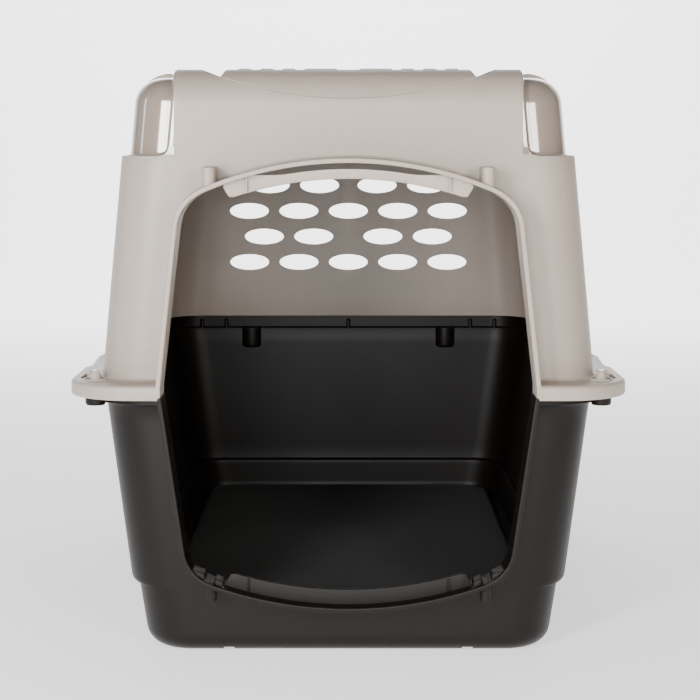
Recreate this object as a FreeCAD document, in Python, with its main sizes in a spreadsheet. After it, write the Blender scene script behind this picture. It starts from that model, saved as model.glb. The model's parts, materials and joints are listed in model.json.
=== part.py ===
"""Two-piece moulded travel kennel with a loose floor mat.

An upper shell sits on a lower shell along a wide flange.  Eight square-headed
bolts stand in cups under the lower flange and come up through both flanges,
and a wing nut on each one clamps the shells together.  The frame has +Z up,
the doorway towards -Y, and its origin on the floor under the middle.
"""
import FreeCAD, Part
import math
import os
from FreeCAD import Rotation, Vector

os.makedirs("parts", exist_ok=True)
doc = FreeCAD.newDocument("travel_kennel")

# ---------------------------------------------------------------- sizes (mm)

SIZES = [
    ("overall_length", 711.0, "front to back over the flange"),
    ("overall_width", 526.0, "side to side over the flange"),
    ("overall_height", 550.0, "floor to the top of the roof ribs"),
    ("wall", 3.2, "thickness of both moulded shells"),
    ("seam_height", 254.8, "underside of the upper flange plate"),
    ("seam_gap", 0.3, "clearance between the two flange plates"),
    ("skirt_drop", 10.8, "how far the skirt hangs below the upper plate"),
    ("flange_radius", 65.0, "plan radius of the flange corners"),
    ("flange_edge_radius", 4.0, "rounding along the top of the flange edge"),
    ("side_overhang", 28.0, "flange edge to the foot of the side wall"),
    ("end_overhang", 32.5, "flange edge to the foot of the end wall"),
    ("corner_radius", 44.0, "plan radius of the corner columns"),
    ("side_slope", 0.093, "inward lean of the upper side walls, mm per mm"),
    ("end_slope", 0.03, "inward lean of the upper end walls, mm per mm"),
    ("roof_rounding", 34.0, "radius where the walls turn into the roof"),
    ("column_height", 468.0, "top of the corner columns"),
    ("recess_depth", 8.0, "how far the top corners stand back"),
    ("front_panel_half", 164.0, "half width of the proud end panels"),
    ("side_panel_half", 198.0, "half length of the proud side panels"),
    ("roof_panel_half", 115.0, "half width of the ribbed roof panel"),
    ("rail_inner_half", 138.0, "inner edge of the two roof rails"),
    ("rib_height", 1.2, "height of the lengthwise roof ribs"),
    ("rib_width", 12.5, "width of a narrow roof rib"),
    ("rib_pitch", 20.8, "spacing of the narrow roof ribs"),
    ("wide_rib_width", 31.0, "width of the two middle roof ribs"),
    ("wide_rib_place", 26.0, "middle roof ribs from the centre line"),
    ("side_recess_half", 178.0, "half length of the vented side recesses"),
    ("side_recess_low", 292.0, "bottom of the vented side recesses"),
    ("side_recess_high", 452.0, "top of the vented side recesses"),
    ("recess_corner", 9.0, "radius in the corners of all recesses"),
    ("lower_inset", 4.0, "lower side wall inside the foot of the upper wall"),
    ("lower_end_outset", 3.0, "lower end wall outside the foot of the upper wall"),
    ("lower_side_slope", 0.129, "inward lean of the lower side walls"),
    ("lower_end_slope", 0.005, "inward lean of the lower end walls"),
    ("base_height", 62.0, "height of the narrower base below the step"),
    ("base_step", 6.5, "how far the base stands in below the columns"),
    ("base_slope", 0.155, "inward lean of the base"),
    ("base_rounding", 16.0, "radius along the bottom edge"),
    ("step_rounding", 5.0, "radius under the foot of the lower columns"),
    ("floor_height", 20.0, "top of the moulded floor"),
    ("foot_rim", 46.0, "width of the rim round the hollow under the floor"),
    ("notch_place", 113.0, "drain notches from the middle"),
    ("notch_width", 11.0, "width of a drain notch in the foot"),
    ("notch_height", 4.0, "height of a drain notch"),
    ("rim_height", 239.0, "inner ledge below the seam"),
    ("rim_offset", 6.0, "how far the rim stands out from the lower wall"),
    ("plate_clearance", 0.9, "lower flange plate to the inside of the skirt"),
    ("doorway_half", 172.3, "half width of the doorway at the seam"),
    ("doorway_top", 461.4, "highest point of the doorway"),
    ("doorway_bottom", 51.2, "lowest point of the doorway"),
    ("doorway_upper_slope", 0.112, "inward lean of the doorway's upper sides"),
    ("doorway_lower_slope", 0.142, "inward lean of the doorway's lower sides"),
    ("top_arch_radius", 337.0, "radius of the doorway's top"),
    ("sill_radius", 372.0, "radius of the doorway's sill"),
    ("doorway_corner", 20.0, "radius of the doorway's corners"),
    ("lip_width", 4.5, "thickness of the lip round the doorway"),
    ("stop_drop", 14.7, "how far the top door stop hangs into the doorway"),
    ("stop_rise", 14.3, "how far the bottom door stop stands up"),
    ("stop_half", 114.0, "half length of both door stops"),
    ("stop_thickness", 3.2, "front to back size of the door stops"),
    ("stop_setback", 14.5, "door stops behind the front of the lip"),
    ("pin_spread", 127.5, "door pin sockets from the middle"),
    ("pin_setback", 10.5, "door pin sockets behind the front of the lip"),
    ("pin_bore", 2.6, "radius of the top door pin sockets"),
    ("sill_pin_bore", 3.0, "radius of the bottom door pin sockets"),
    ("pin_depth", 12.0, "depth of the door pin sockets"),
    ("boss_cap", 9.5, "top of an upper boss above its socket"),
    ("top_boss_radius", 6.0, "boss round each top pin socket"),
    ("sill_boss_radius", 5.2, "boss round each bottom pin socket"),
    ("vent_half_width", 25.5, "half width of one vent"),
    ("vent_half_height", 10.2, "half height of one vent"),
    ("vent_pitch", 65.0, "spacing of the vents along a row"),
    ("vent_row_pitch", 33.7, "spacing of the vent rows"),
    ("vent_low_row", 326.0, "height of the lowest vent row"),
    ("vent_edge", 12.0, "least distance from a vent to the end of its panel"),
    ("second_row_stagger", 0.7, "first vent of the second row from the middle, in pitches"),
    ("fourth_row_stagger", 0.58, "first vent of the fourth row from the middle, in pitches"),
    ("bolt_radius", 3.0, "bolt shank"),
    ("bolt_head_side", 10.0, "side of the square bolt head"),
    ("bolt_head_height", 4.0, "height of the square bolt head"),
    ("bolt_reach", 9.0, "bolt above the upper flange"),
    ("bolt_clearance", 0.4, "radial clearance of a bolt in its holes"),
    ("cup_radius", 9.5, "outside of a bolt cup"),
    ("cup_depth", 17.0, "depth of a bolt cup below the lower plate"),
    ("ring_radius", 11.0, "raised ring round a wing nut"),
    ("ring_width", 1.8, "width of the raised ring"),
    ("ring_height", 1.4, "height of the raised ring"),
    ("bolt_standoff", 8.7, "bolt axis outside the rim"),
    ("corner_bolt_angle", 30.0, "direction of a front bolt from its corner's centre"),
    ("side_bolt_spread", 130.0, "side bolts from the middle"),
    ("rear_bolt_spread", 128.0, "rear bolts from the middle"),
    ("bulge_radius", 14.0, "half-round bulge inside the rear wall by a rear bolt"),
    ("bulge_height", 26.0, "height of the bulge below the rim"),
    ("bulge_bite", 0.8, "how far a bulge runs into the wall"),
    ("nut_hub_radius", 5.6, "wing nut hub"),
    ("nut_hub_height", 6.0, "wing nut hub height"),
    ("nut_wing_reach", 8.0, "wing tip from the bolt axis"),
    ("nut_wing_thickness", 3.0, "wing thickness"),
    ("nut_wing_height", 8.8, "top of the wings above the nut's seat"),
    ("nut_seat_gap", 0.3, "running gap under a wing nut"),
    ("slot_length", 36.0, "tie slot in the flange corners"),
    ("slot_width", 5.0, "tie slot width"),
    ("slot_edge", 12.0, "tie slot centre line from the flange edge"),
    ("slot_setback", 70.0, "tie slot centre behind the flange's front edge"),
    ("mat_thickness", 13.0, "floor mat"),
    ("mat_gap", 2.5, "mat to the walls round it"),
    ("mat_radius", 34.0, "plan radius of the mat's corners"),
    ("mat_lift", 0.4, "mat above the moulded floor at rest"),
]

sheet = doc.addObject("Spreadsheet::Sheet", "Sizes")
for row, (alias, value, note) in enumerate(SIZES, start=1):
    sheet.set("A%d" % row, alias)
    sheet.set("B%d" % row, "%g" % value)
    sheet.set("C%d" % row, note)
    sheet.setAlias("B%d" % row, alias)
doc.recompute()


class SheetSizes:
    """The sheet's cells as plain numbers, by alias."""

    def __getattr__(self, alias):
        return float(sheet.get(alias))


s = SheetSizes()

# ------------------------------------------------- lengths that follow on

half_width = s.overall_width / 2
half_length = s.overall_length / 2
front = -half_length
plate_top = s.seam_height + s.wall
skirt_bottom = s.seam_height - s.skirt_drop
roof = s.overall_height - s.rib_height
foot_x = half_width - s.side_overhang
foot_y = half_length - s.end_overhang
lower_x = foot_x - s.lower_inset
lower_y = foot_y + s.lower_end_outset
rim_x = lower_x + s.rim_offset
rim_y = lower_y + s.rim_offset
rim_radius = s.corner_radius + s.rim_offset
lower_plate_top = s.seam_height - s.seam_gap
lower_plate_bottom = lower_plate_top - s.wall
base_x = lower_x - s.lower_side_slope * (s.rim_height - s.base_height) - s.base_step
base_front = lower_y - s.lower_end_slope * (s.rim_height - s.base_height)
base_y = base_front - s.base_step / 2
base_middle = -s.base_step / 2
PAST = 60.0      # how far a cutting tool runs past what it cuts


# ---------------------------------------------------------- shape helpers

def rounded_rect(half_x, half_y, radius, z):
    """Closed outline at height z: four straight sides and four quarter arcs."""
    arcs = []
    for quarter, (side_x, side_y) in enumerate([(1, 1), (-1, 1), (-1, -1), (1, -1)]):
        centre = Vector(side_x * (half_x - radius), side_y * (half_y - radius), z)
        arcs.append(Part.makeCircle(radius, centre, Vector(0, 0, 1), quarter * 90, quarter * 90 + 90))
    edges = []
    for arc, following in zip(arcs, arcs[1:] + arcs[:1]):
        edges += [arc, Part.makeLine(arc.lastVertex().Point, following.firstVertex().Point)]
    return Part.Wire(edges)


def slab(half_x, half_y, radius, low, high):
    """Upright slab with rounded corners."""
    return Part.Face(rounded_rect(half_x, half_y, radius, low)).extrude(Vector(0, 0, high - low))


def tapered(half_x, half_y, radius, low, high, slope_x, slope_y, at):
    """Slab that leans inwards; its half sizes hold at the height called at.

    A wedge gives the four leaning flat sides, and its corner edges are rounded.
    """
    low_x, low_y = half_x - slope_x * (low - at), half_y - slope_y * (low - at)
    high_x, high_y = half_x - slope_x * (high - at), half_y - slope_y * (high - at)
    wedge = Part.makeWedge(-low_x, low, -low_y, -high_y, -high_x, low_x, high, low_y, high_y, high_x)
    wedge.rotate(Vector(), Vector(1, 0, 0), 90)
    leaning = [edge for edge in wedge.Edges if abs(edge.firstVertex().Z - edge.lastVertex().Z) > 0.01]
    return wedge.makeFillet(radius, leaning)


def round_rim(solid, z, radius):
    """Round the edges of a solid that lie at height z."""
    rim = [edge for edge in solid.Edges
           if all(abs(vertex.Z - z) < 0.01 for vertex in edge.Vertexes)]
    return solid.makeFillet(radius, rim)


def block(x0, x1, y0, y1, z0, z1):
    """Box between two corners."""
    return Part.makeBox(x1 - x0, y1 - y0, z1 - z0, Vector(x0, y0, z0))


def post(x, y, radius, low, high):
    """Upright round post."""
    return Part.makeCylinder(radius, high - low, Vector(x, y, low))


def soft_block(x0, x1, y0, y1, z0, z1, radius):
    """Box with all its edges rounded, to press a soft-cornered recess."""
    box = block(min(x0, x1), max(x0, x1), min(y0, y1), max(y0, y1), z0, z1)
    return box.makeFillet(radius, box.Edges)


# -------------------------------------------------------- doorway outline

def doorway_face(grow=0.0):
    """Doorway seen from the front, in the plane y = 0, made larger by grow.

    The top and the sill are shallow arcs, the sides lean in both ways from the
    seam, and the four corners between them are rounded.
    """
    def side_x(z):
        slope = s.doorway_upper_slope if z > s.seam_height else s.doorway_lower_slope
        return s.doorway_half - slope * abs(z - s.seam_height) + grow

    def arch_z(x, up):
        if up:
            return s.doorway_top + grow - (s.top_arch_radius - math.sqrt(s.top_arch_radius ** 2 - x * x))
        return s.doorway_bottom - grow + (s.sill_radius - math.sqrt(s.sill_radius ** 2 - x * x))

    def corner_tangents(up):
        """Where a side and an arch stop, one corner radius short of meeting."""
        x = side_x(arch_z(side_x(s.seam_height), up))
        for _ in range(20):
            x = side_x(arch_z(x, up))
        z = arch_z(x, up)
        toward_seam = -1 if up else 1
        side_z = z + toward_seam * s.doorway_corner
        arch_x = x - s.doorway_corner
        return Vector(side_x(side_z), 0, side_z), Vector(arch_x, 0, arch_z(arch_x, up)), Vector(x, 0, z)

    def mirrored(point):
        return Vector(-point.x, point.y, point.z)

    def corner(side, arch, meeting):
        middle = (side + arch) * 0.5
        crown = middle + (meeting - middle) * 0.42
        return crown

    side_up, arch_up, meet_up = corner_tangents(True)
    side_low, arch_low, meet_low = corner_tangents(False)
    waist = Vector(side_x(s.seam_height), 0, s.seam_height)
    crown_up = corner(side_up, arch_up, meet_up)
    crown_low = corner(side_low, arch_low, meet_low)
    edges = [
        Part.makeLine(waist, side_up),
        Part.Arc(side_up, crown_up, arch_up).toShape(),
        Part.Arc(arch_up, Vector(0, 0, arch_z(0, True)), mirrored(arch_up)).toShape(),
        Part.Arc(mirrored(arch_up), mirrored(crown_up), mirrored(side_up)).toShape(),
        Part.makeLine(mirrored(side_up), mirrored(waist)),
        Part.makeLine(mirrored(waist), mirrored(side_low)),
        Part.Arc(mirrored(side_low), mirrored(crown_low), mirrored(arch_low)).toShape(),
        Part.Arc(mirrored(arch_low), Vector(0, 0, arch_z(0, False)), arch_low).toShape(),
        Part.Arc(arch_low, crown_low, side_low).toShape(),
        Part.makeLine(side_low, waist),
    ]
    return Part.Face(Part.Wire(edges))


def through_front(face, near, far):
    """Push a face in the plane y = 0 out into a solid between two depths."""
    moved = face.copy()
    moved.translate(Vector(0, near, 0))
    return moved.extrude(Vector(0, far - near, 0))


def arch_band(centre_z, small, large, up, near, far):
    """Curved bar of the door stops: a ring sector no wider than the stops."""
    axis = Vector(0, 1, 0)
    base = Vector(0, near, centre_z)
    ring = Part.makeCylinder(large, far - near, base, axis)
    ring = ring.cut(Part.makeCylinder(small, far - near, base, axis))
    low, high = (centre_z, centre_z + large + 1) if up else (centre_z - large - 1, centre_z)
    return ring.common(block(-s.stop_half, s.stop_half, near, far, low, high))


def vent(x, y, z, axis):
    """Oval cutting tool, long across the wall, that runs along an axis."""
    oval = Part.Face(Part.Wire(Part.Ellipse(Vector(), s.vent_half_width, s.vent_half_height).toShape()))
    tool = oval.extrude(Vector(0, 0, 2 * PAST))
    tool.translate(Vector(0, 0, -PAST))
    tool.rotate(Vector(), Vector(1, 0, 0), 90)
    if axis == "x":
        tool.rotate(Vector(), Vector(0, 0, 1), 90)
    tool.translate(Vector(x, y, z))
    return tool


# ------------------------------------------------------- fastener places

def fastener_places():
    """Name and plan place of the eight bolts, each standing off the rim."""
    corner_x = rim_x - rim_radius
    corner_y = rim_y - rim_radius
    reach = rim_radius + s.bolt_standoff
    turn = math.radians(s.corner_bolt_angle)
    x = corner_x + reach * math.cos(turn)
    y = corner_y + reach * math.sin(turn)
    side = rim_x + s.bolt_standoff
    rear = rim_y + s.bolt_standoff
    return [
        ("front_left", -x, -y),
        ("front_right", x, -y),
        ("side_left_front", -side, -s.side_bolt_spread),
        ("side_left_rear", -side, s.side_bolt_spread),
        ("side_right_front", side, -s.side_bolt_spread),
        ("side_right_rear", side, s.side_bolt_spread),
        ("rear_left", -s.rear_bolt_spread, rear),
        ("rear_right", s.rear_bolt_spread, rear),
    ]


def tie_slots():
    """Four slots for ties, through both flanges outboard of the columns."""
    x = half_width - s.slot_edge
    y = half_length - s.slot_setback
    tools = []
    for side_x in (-1, 1):
        for side_y in (-1, 1):
            tools.append(block(side_x * x - s.slot_width / 2, side_x * x + s.slot_width / 2,
                               side_y * y - s.slot_length / 2, side_y * y + s.slot_length / 2,
                               lower_plate_bottom - 1, plate_top + 1))
    return tools


# ------------------------------------------------------------ upper shell

def upper_body(inset):
    """Proud skin of the upper shell with its recessed corners, inset by a wall.

    The recessed core stands back inside the skin.  Where the corners and the
    two roof valleys are cut out of the skin, the core shows.
    """
    low = s.seam_height if inset == 0 else s.seam_height - PAST
    skin = tapered(foot_x - inset, foot_y - inset, s.corner_radius - inset,
                   low, roof - inset, s.side_slope, s.end_slope, plate_top)
    skin = round_rim(skin, roof - inset, s.roof_rounding - inset)
    core_inset = s.recess_depth + inset
    core = tapered(foot_x - core_inset, foot_y - core_inset, s.corner_radius - inset,
                   low, roof - core_inset, s.side_slope, s.end_slope, plate_top)
    core = round_rim(core, roof - core_inset, s.roof_rounding - inset)
    cuts = []
    corner_x = s.front_panel_half - inset
    corner_y = s.side_panel_half - inset
    for side_x in (-1, 1):
        outside = side_x * (half_width + PAST)
        for side_y in (-1, 1):
            cuts.append(soft_block(side_x * corner_x, outside,
                                   side_y * corner_y, side_y * (half_length + PAST),
                                   s.column_height - inset, roof + PAST, s.recess_corner + inset))
        cuts.append(soft_block(side_x * (foot_x - PAST), outside,
                               -s.side_recess_half - inset, s.side_recess_half + inset,
                               s.side_recess_low - inset, s.side_recess_high + inset,
                               s.recess_corner + inset))
        bottom = roof - s.recess_depth - inset
        valley = Part.makePolygon([
            Vector(side_x * (s.roof_panel_half - inset), -half_length, roof + 1),
            Vector(side_x * (s.roof_panel_half - inset), -half_length, bottom),
            Vector(side_x * (s.rail_inner_half + inset), -half_length, roof - inset),
            Vector(side_x * (s.rail_inner_half + inset), -half_length, roof + 1),
            Vector(side_x * (s.roof_panel_half - inset), -half_length, roof + 1),
        ])
        cuts.append(Part.Face(valley).extrude(Vector(0, s.overall_length, 0)))
    return skin.cut(cuts).fuse(core)


def upper_shell_shape():
    """Upper shell: walls and roof, flange, doorway lip, pin bosses and vents."""
    cavity = upper_body(s.wall)
    flange = slab(half_width, half_length, s.flange_radius, skirt_bottom, plate_top)
    flange = round_rim(flange, plate_top, s.flange_edge_radius)
    under = slab(half_width - s.wall, half_length - s.wall, s.flange_radius - s.wall,
                 skirt_bottom - 1, s.seam_height)
    inner_front = -(foot_y - s.end_slope * (s.doorway_top - plate_top)) + s.wall
    lip = through_front(doorway_face(s.lip_width), front, inner_front)
    lip = lip.common(block(-half_width, half_width, front, 0, s.seam_height, roof))
    pin_y = front + s.pin_setback
    pin_low = doorway_arch_height(s.pin_spread)
    additions = []
    for side in (-1, 1):
        x = side * s.pin_spread
        top = pin_low + s.pin_depth + s.boss_cap
        web = block(x - s.top_boss_radius, x + s.top_boss_radius, pin_y, inner_front,
                    pin_low - s.lip_width, top)
        additions += [post(x, pin_y, s.top_boss_radius, pin_low - s.lip_width, top), web]
    rib_end = foot_y - s.end_slope * (roof - plate_top) - s.roof_rounding
    for place, width in roof_ribs():
        additions.append(block(place - width / 2, place + width / 2, -rib_end, rib_end,
                               roof - s.wall / 2, s.overall_height))
    for _, x, y in fastener_places():
        ring = post(x, y, s.ring_radius, plate_top - s.wall / 2, plate_top + s.ring_height)
        ring = ring.cut(post(x, y, s.ring_radius - s.ring_width, plate_top - s.wall, plate_top + s.wall))
        additions.append(ring)
    shell = upper_body(0).fuse(flange.cut(under)).fuse(lip).fuse(additions)
    opening = through_front(doorway_face(), front - PAST, inner_front + PAST / 3)
    shell = shell.cut([cavity, opening])
    stop = arch_band(s.doorway_top - s.top_arch_radius, s.top_arch_radius - s.stop_drop,
                     s.top_arch_radius + s.wall, True, front + s.stop_setback,
                     front + s.stop_setback + s.stop_thickness)
    shell = shell.fuse(stop)
    holes = tie_slots()
    for side in (-1, 1):
        holes.append(post(side * s.pin_spread, pin_y, s.pin_bore,
                          pin_low - 2 * s.lip_width, pin_low + s.pin_depth))
    for _, x, y in fastener_places():
        holes.append(post(x, y, s.bolt_radius + s.bolt_clearance, s.seam_height - 1, plate_top + s.wall))
    return shell.cut(holes).cut(vent_tools()).removeSplitter()


def doorway_arch_height(x):
    """Height of the doorway's top at a distance from the middle."""
    return s.doorway_top - s.top_arch_radius + math.sqrt(s.top_arch_radius ** 2 - x * x)


def sill_height(x):
    """Height of the doorway's sill at a distance from the middle."""
    return s.doorway_bottom + s.sill_radius - math.sqrt(s.sill_radius ** 2 - x * x)


def roof_ribs():
    """Place and width of each roof rib: a wide pair inside narrow ones."""
    first = s.wide_rib_place + s.wide_rib_width / 2 + s.rib_pitch - s.rib_width / 2
    count = 1 + int((s.roof_panel_half - s.rib_width - first) / s.rib_pitch)
    ribs = [(s.wide_rib_place, s.wide_rib_width)]
    ribs += [(first + step * s.rib_pitch, s.rib_width) for step in range(count)]
    return [(side * place, width) for side in (-1, 1) for place, width in ribs]


def row_of_vents(first, panel_half):
    """Places along a row, both ways from the middle, as far as the panel goes."""
    places = []
    place = first
    while place + s.vent_half_width + s.vent_edge <= panel_half:
        places += sorted({-place, place})
        place += s.vent_pitch
    return places


def vent_tools():
    """Vents through the rear wall and both side walls, in staggered rows."""
    tools = []
    for row, stagger in enumerate((0.0, s.second_row_stagger, 0.0, s.fourth_row_stagger)):
        z = s.vent_low_row + row * s.vent_row_pitch
        for place in row_of_vents(stagger * s.vent_pitch, s.front_panel_half + s.vent_edge):
            tools.append(vent(place, foot_y, z, "y"))
        side_first = s.vent_pitch / 2 if row % 2 else 0.0
        for place in row_of_vents(side_first, s.side_recess_half):
            tools += [vent(side * foot_x, place, z, "x") for side in (-1, 1)]
    return tools


# ------------------------------------------------------------ lower shell

def drain_notches():
    """Small notches under the front and rear of the foot rim."""
    half = s.notch_width / 2
    inner, outer = base_y / 2, half_length
    notches = []
    for x in (-s.notch_place, s.notch_place):
        notches.append(block(x - half, x + half, -outer, -inner, -1, s.notch_height))
        notches.append(block(x - half, x + half, inner, outer, -1, s.notch_height))
    return notches


def lower_body(inset, bottom):
    """Lower tub with its narrower base, inset by a wall, down to a height.

    The base stands in at the sides and the rear, and is flush at the front.
    """
    step = s.base_height + inset
    walls = tapered(lower_x - inset, lower_y - inset, s.corner_radius - inset,
                    step, s.rim_height + inset,
                    -s.lower_side_slope, -s.lower_end_slope, s.rim_height)
    base = tapered(base_x - inset, base_y - inset, s.corner_radius - inset,
                   bottom, step, -s.base_slope, -s.lower_end_slope, s.base_height)
    if inset == 0:
        walls = round_rim(walls, step, s.step_rounding)
        base = round_rim(base, bottom, s.base_rounding)
    base.translate(Vector(0, base_middle, 0))
    return walls.fuse(base)


def lower_shell_shape():
    """Lower shell: tub, rim, flange plate, bolt cups, doorway lip and sill."""
    cavity = lower_body(s.wall, s.floor_height)
    shell = lower_body(0, 0)
    rim = slab(rim_x, rim_y, rim_radius, s.rim_height - s.wall, lower_plate_top)
    reach = s.wall + s.plate_clearance
    plate = slab(half_width - reach, half_length - reach, s.flange_radius - reach,
                 lower_plate_bottom, lower_plate_top)
    channel = slab(rim_x - s.wall, rim_y - s.wall, rim_radius - s.wall,
                   s.rim_height, lower_plate_top + 1)
    shell = shell.fuse([rim, plate])
    inner_front = -base_front + s.wall
    lip = through_front(doorway_face(s.lip_width), front, inner_front)
    seam_top = skirt_bottom - s.seam_gap
    behind_skirt = front + reach
    lip_outside = lip.common(block(-half_width, half_width, front, 0, 0, seam_top))
    lip_inside = lip.common(block(-half_width, half_width, behind_skirt, 0, seam_top - 1, lower_plate_top))
    shell = shell.fuse([lip_outside, lip_inside])
    pin_y = front + s.pin_setback
    pin_high = sill_height(s.pin_spread)
    boss_low = pin_high - s.pin_depth - 2 * s.wall
    cups = []
    for _, x, y in fastener_places():
        cups.append(post(x, y, s.cup_radius, lower_plate_bottom - s.cup_depth, lower_plate_top))
    for side in (-1, 1):
        x = side * s.pin_spread
        cups.append(post(x, pin_y, s.sill_boss_radius, boss_low, pin_high + s.lip_width))
        cups.append(block(x - s.sill_boss_radius, x + s.sill_boss_radius, pin_y, inner_front,
                          boss_low, pin_high))
    shell = shell.fuse(cups)
    tub_under = slab(base_x - s.foot_rim, base_y - s.foot_rim, s.corner_radius,
                     -1, s.floor_height - s.wall)
    tub_under.translate(Vector(0, base_middle, 0))
    opening = through_front(doorway_face(), front - PAST, inner_front + PAST / 3)
    inside_wall = lower_y - s.wall - s.lower_end_slope * s.bulge_height / 2
    outside_wall = block(-half_width, half_width, inside_wall + s.bulge_bite, half_length, 0, s.rim_height)
    bulges = [post(side * s.rear_bolt_spread, lower_y - s.wall, s.bulge_radius,
                   s.rim_height - s.bulge_height, s.rim_height).cut(outside_wall) for side in (-1, 1)]
    shell = shell.cut([cavity, channel, tub_under])
    shell = shell.fuse(bulges)
    shell = shell.cut(opening)
    sill_stop = arch_band(s.doorway_bottom + s.sill_radius, s.sill_radius - s.stop_rise,
                          s.sill_radius + s.wall, False, front + s.stop_setback,
                          front + s.stop_setback + s.stop_thickness)
    shell = shell.fuse(sill_stop)
    socket = s.bolt_head_side / 2 + s.bolt_clearance
    holes = tie_slots() + drain_notches()
    for _, x, y in fastener_places():
        holes.append(block(x - socket, x + socket, y - socket, y + socket,
                           lower_plate_bottom - s.cup_depth - 1, lower_plate_bottom))
        holes.append(post(x, y, s.bolt_radius + s.bolt_clearance,
                          lower_plate_bottom - 1, lower_plate_top + 1))
    for side in (-1, 1):
        holes.append(post(side * s.pin_spread, pin_y, s.sill_pin_bore,
                          pin_high - s.pin_depth, pin_high + 2 * s.lip_width))
    return shell.cut(holes).removeSplitter()


# ------------------------------------------------- parts made as features

def shape_part(name, shape):
    """A moulded piece whose shape is worked out above."""
    piece = doc.addObject("Part::Feature", name)
    piece.Label = name
    piece.Shape = shape
    return piece


def bolt(name, x, y):
    """Square-headed bolt: a box for the head and a cylinder for the shank."""
    head = doc.addObject("Part::Box", name + "_head")
    head.setExpression("Length", "Sizes.bolt_head_side")
    head.setExpression("Width", "Sizes.bolt_head_side")
    head.setExpression("Height", "Sizes.bolt_head_height")
    head.setExpression("Placement.Base.x", "-Sizes.bolt_head_side / 2")
    head.setExpression("Placement.Base.y", "-Sizes.bolt_head_side / 2")
    shank = doc.addObject("Part::Cylinder", name + "_shank")
    shank.setExpression("Radius", "Sizes.bolt_radius")
    shank.setExpression("Height", "Sizes.bolt_head_height + 2 * Sizes.wall"
                                  " + 2 * Sizes.seam_gap + Sizes.bolt_reach")
    piece = doc.addObject("Part::Fuse", name)
    piece.Base = head
    piece.Tool = shank
    piece.Label = name
    piece.Placement.Base = Vector(x, y, lower_plate_bottom - s.seam_gap - s.bolt_head_height)
    return piece


def wing_turn(place, x, y):
    """Wings run along the flange's nearest edge, or round the corner at the front."""
    if place.startswith("front_"):
        return math.degrees(math.atan2(y, x)) + 90.0
    return 90.0 if place.startswith("side_") else 0.0


def wing_nut(name, x, y, turn):
    """Wing nut: round hub, two upright wings as one box, and its bore."""
    hub = doc.addObject("Part::Cylinder", name + "_hub")
    hub.setExpression("Radius", "Sizes.nut_hub_radius")
    hub.setExpression("Height", "Sizes.nut_hub_height")
    wings = doc.addObject("Part::Box", name + "_wings")
    wings.setExpression("Length", "2 * Sizes.nut_wing_reach")
    wings.setExpression("Width", "Sizes.nut_wing_thickness")
    wings.setExpression("Height", "Sizes.nut_wing_height - Sizes.nut_wing_thickness")
    wings.setExpression("Placement.Base.x", "-Sizes.nut_wing_reach")
    wings.setExpression("Placement.Base.y", "-Sizes.nut_wing_thickness / 2")
    wings.setExpression("Placement.Base.z", "Sizes.nut_wing_thickness")
    body = doc.addObject("Part::Fuse", name + "_body")
    body.Base = hub
    body.Tool = wings
    bore = doc.addObject("Part::Cylinder", name + "_bore")
    bore.setExpression("Radius", "Sizes.bolt_radius + Sizes.bolt_clearance")
    bore.setExpression("Height", "Sizes.nut_wing_height")
    piece = doc.addObject("Part::Cut", name)
    piece.Base = body
    piece.Tool = bore
    piece.Label = name
    piece.Placement.Base = Vector(x, y, plate_top + s.nut_seat_gap)
    piece.Placement.Rotation = Rotation(Vector(0, 0, 1), turn)
    return piece


def floor_mat():
    """Flat mat with rounded corners, as a padded sketch."""
    inside = s.wall + s.mat_gap
    drop = s.base_height - s.floor_height
    half_x = base_x - s.base_slope * drop - inside
    half_y = base_y - s.lower_end_slope * drop - inside
    body = doc.addObject("PartDesign::Body", "floor_mat")
    body.Label = "floor_mat"
    doc.recompute()
    plane = [feature for feature in body.Origin.OriginFeatures if feature.Role == "XY_Plane"][0]
    outline = body.newObject("Sketcher::SketchObject", "mat_outline")
    outline.AttachmentSupport = [(plane, "")]
    outline.MapMode = "FlatFace"
    for edge in rounded_rect(half_x, half_y, s.mat_radius, 0).Edges:
        outline.addGeometry(edge.Curve.trim(edge.FirstParameter, edge.LastParameter), False)
    pad = body.newObject("PartDesign::Pad", "mat_pad")
    pad.Profile = outline
    pad.setExpression("Length", "Sizes.mat_thickness")
    body.Tip = pad
    body.Placement.Base = Vector(0, base_middle, s.floor_height + s.mat_lift)
    return body


pieces = [
    shape_part("lower_shell", lower_shell_shape()),
    shape_part("upper_shell", upper_shell_shape()),
    floor_mat(),
]
for place, x, y in fastener_places():
    pieces.append(bolt("bolt_" + place, x, y))
    pieces.append(wing_nut("wing_nut_" + place, x, y, wing_turn(place, x, y)))

doc.recompute()
for item in doc.Objects:
    if "Invalid" in item.State or "Error" in item.State:
        raise RuntimeError("%s did not build: %s" % (item.Name, item.State))
for piece in pieces:
    if piece.Shape.isNull() or not piece.Shape.isValid():
        raise RuntimeError("%s has no valid shape" % piece.Label)
    solids = len(piece.Shape.Solids)
    print("%-28s solids %d volume %.1f cm3" % (piece.Label, solids, piece.Shape.Volume / 1000))
    piece.Shape.exportStep("parts/%s.step" % piece.Label)
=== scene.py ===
import json
import math

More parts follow.
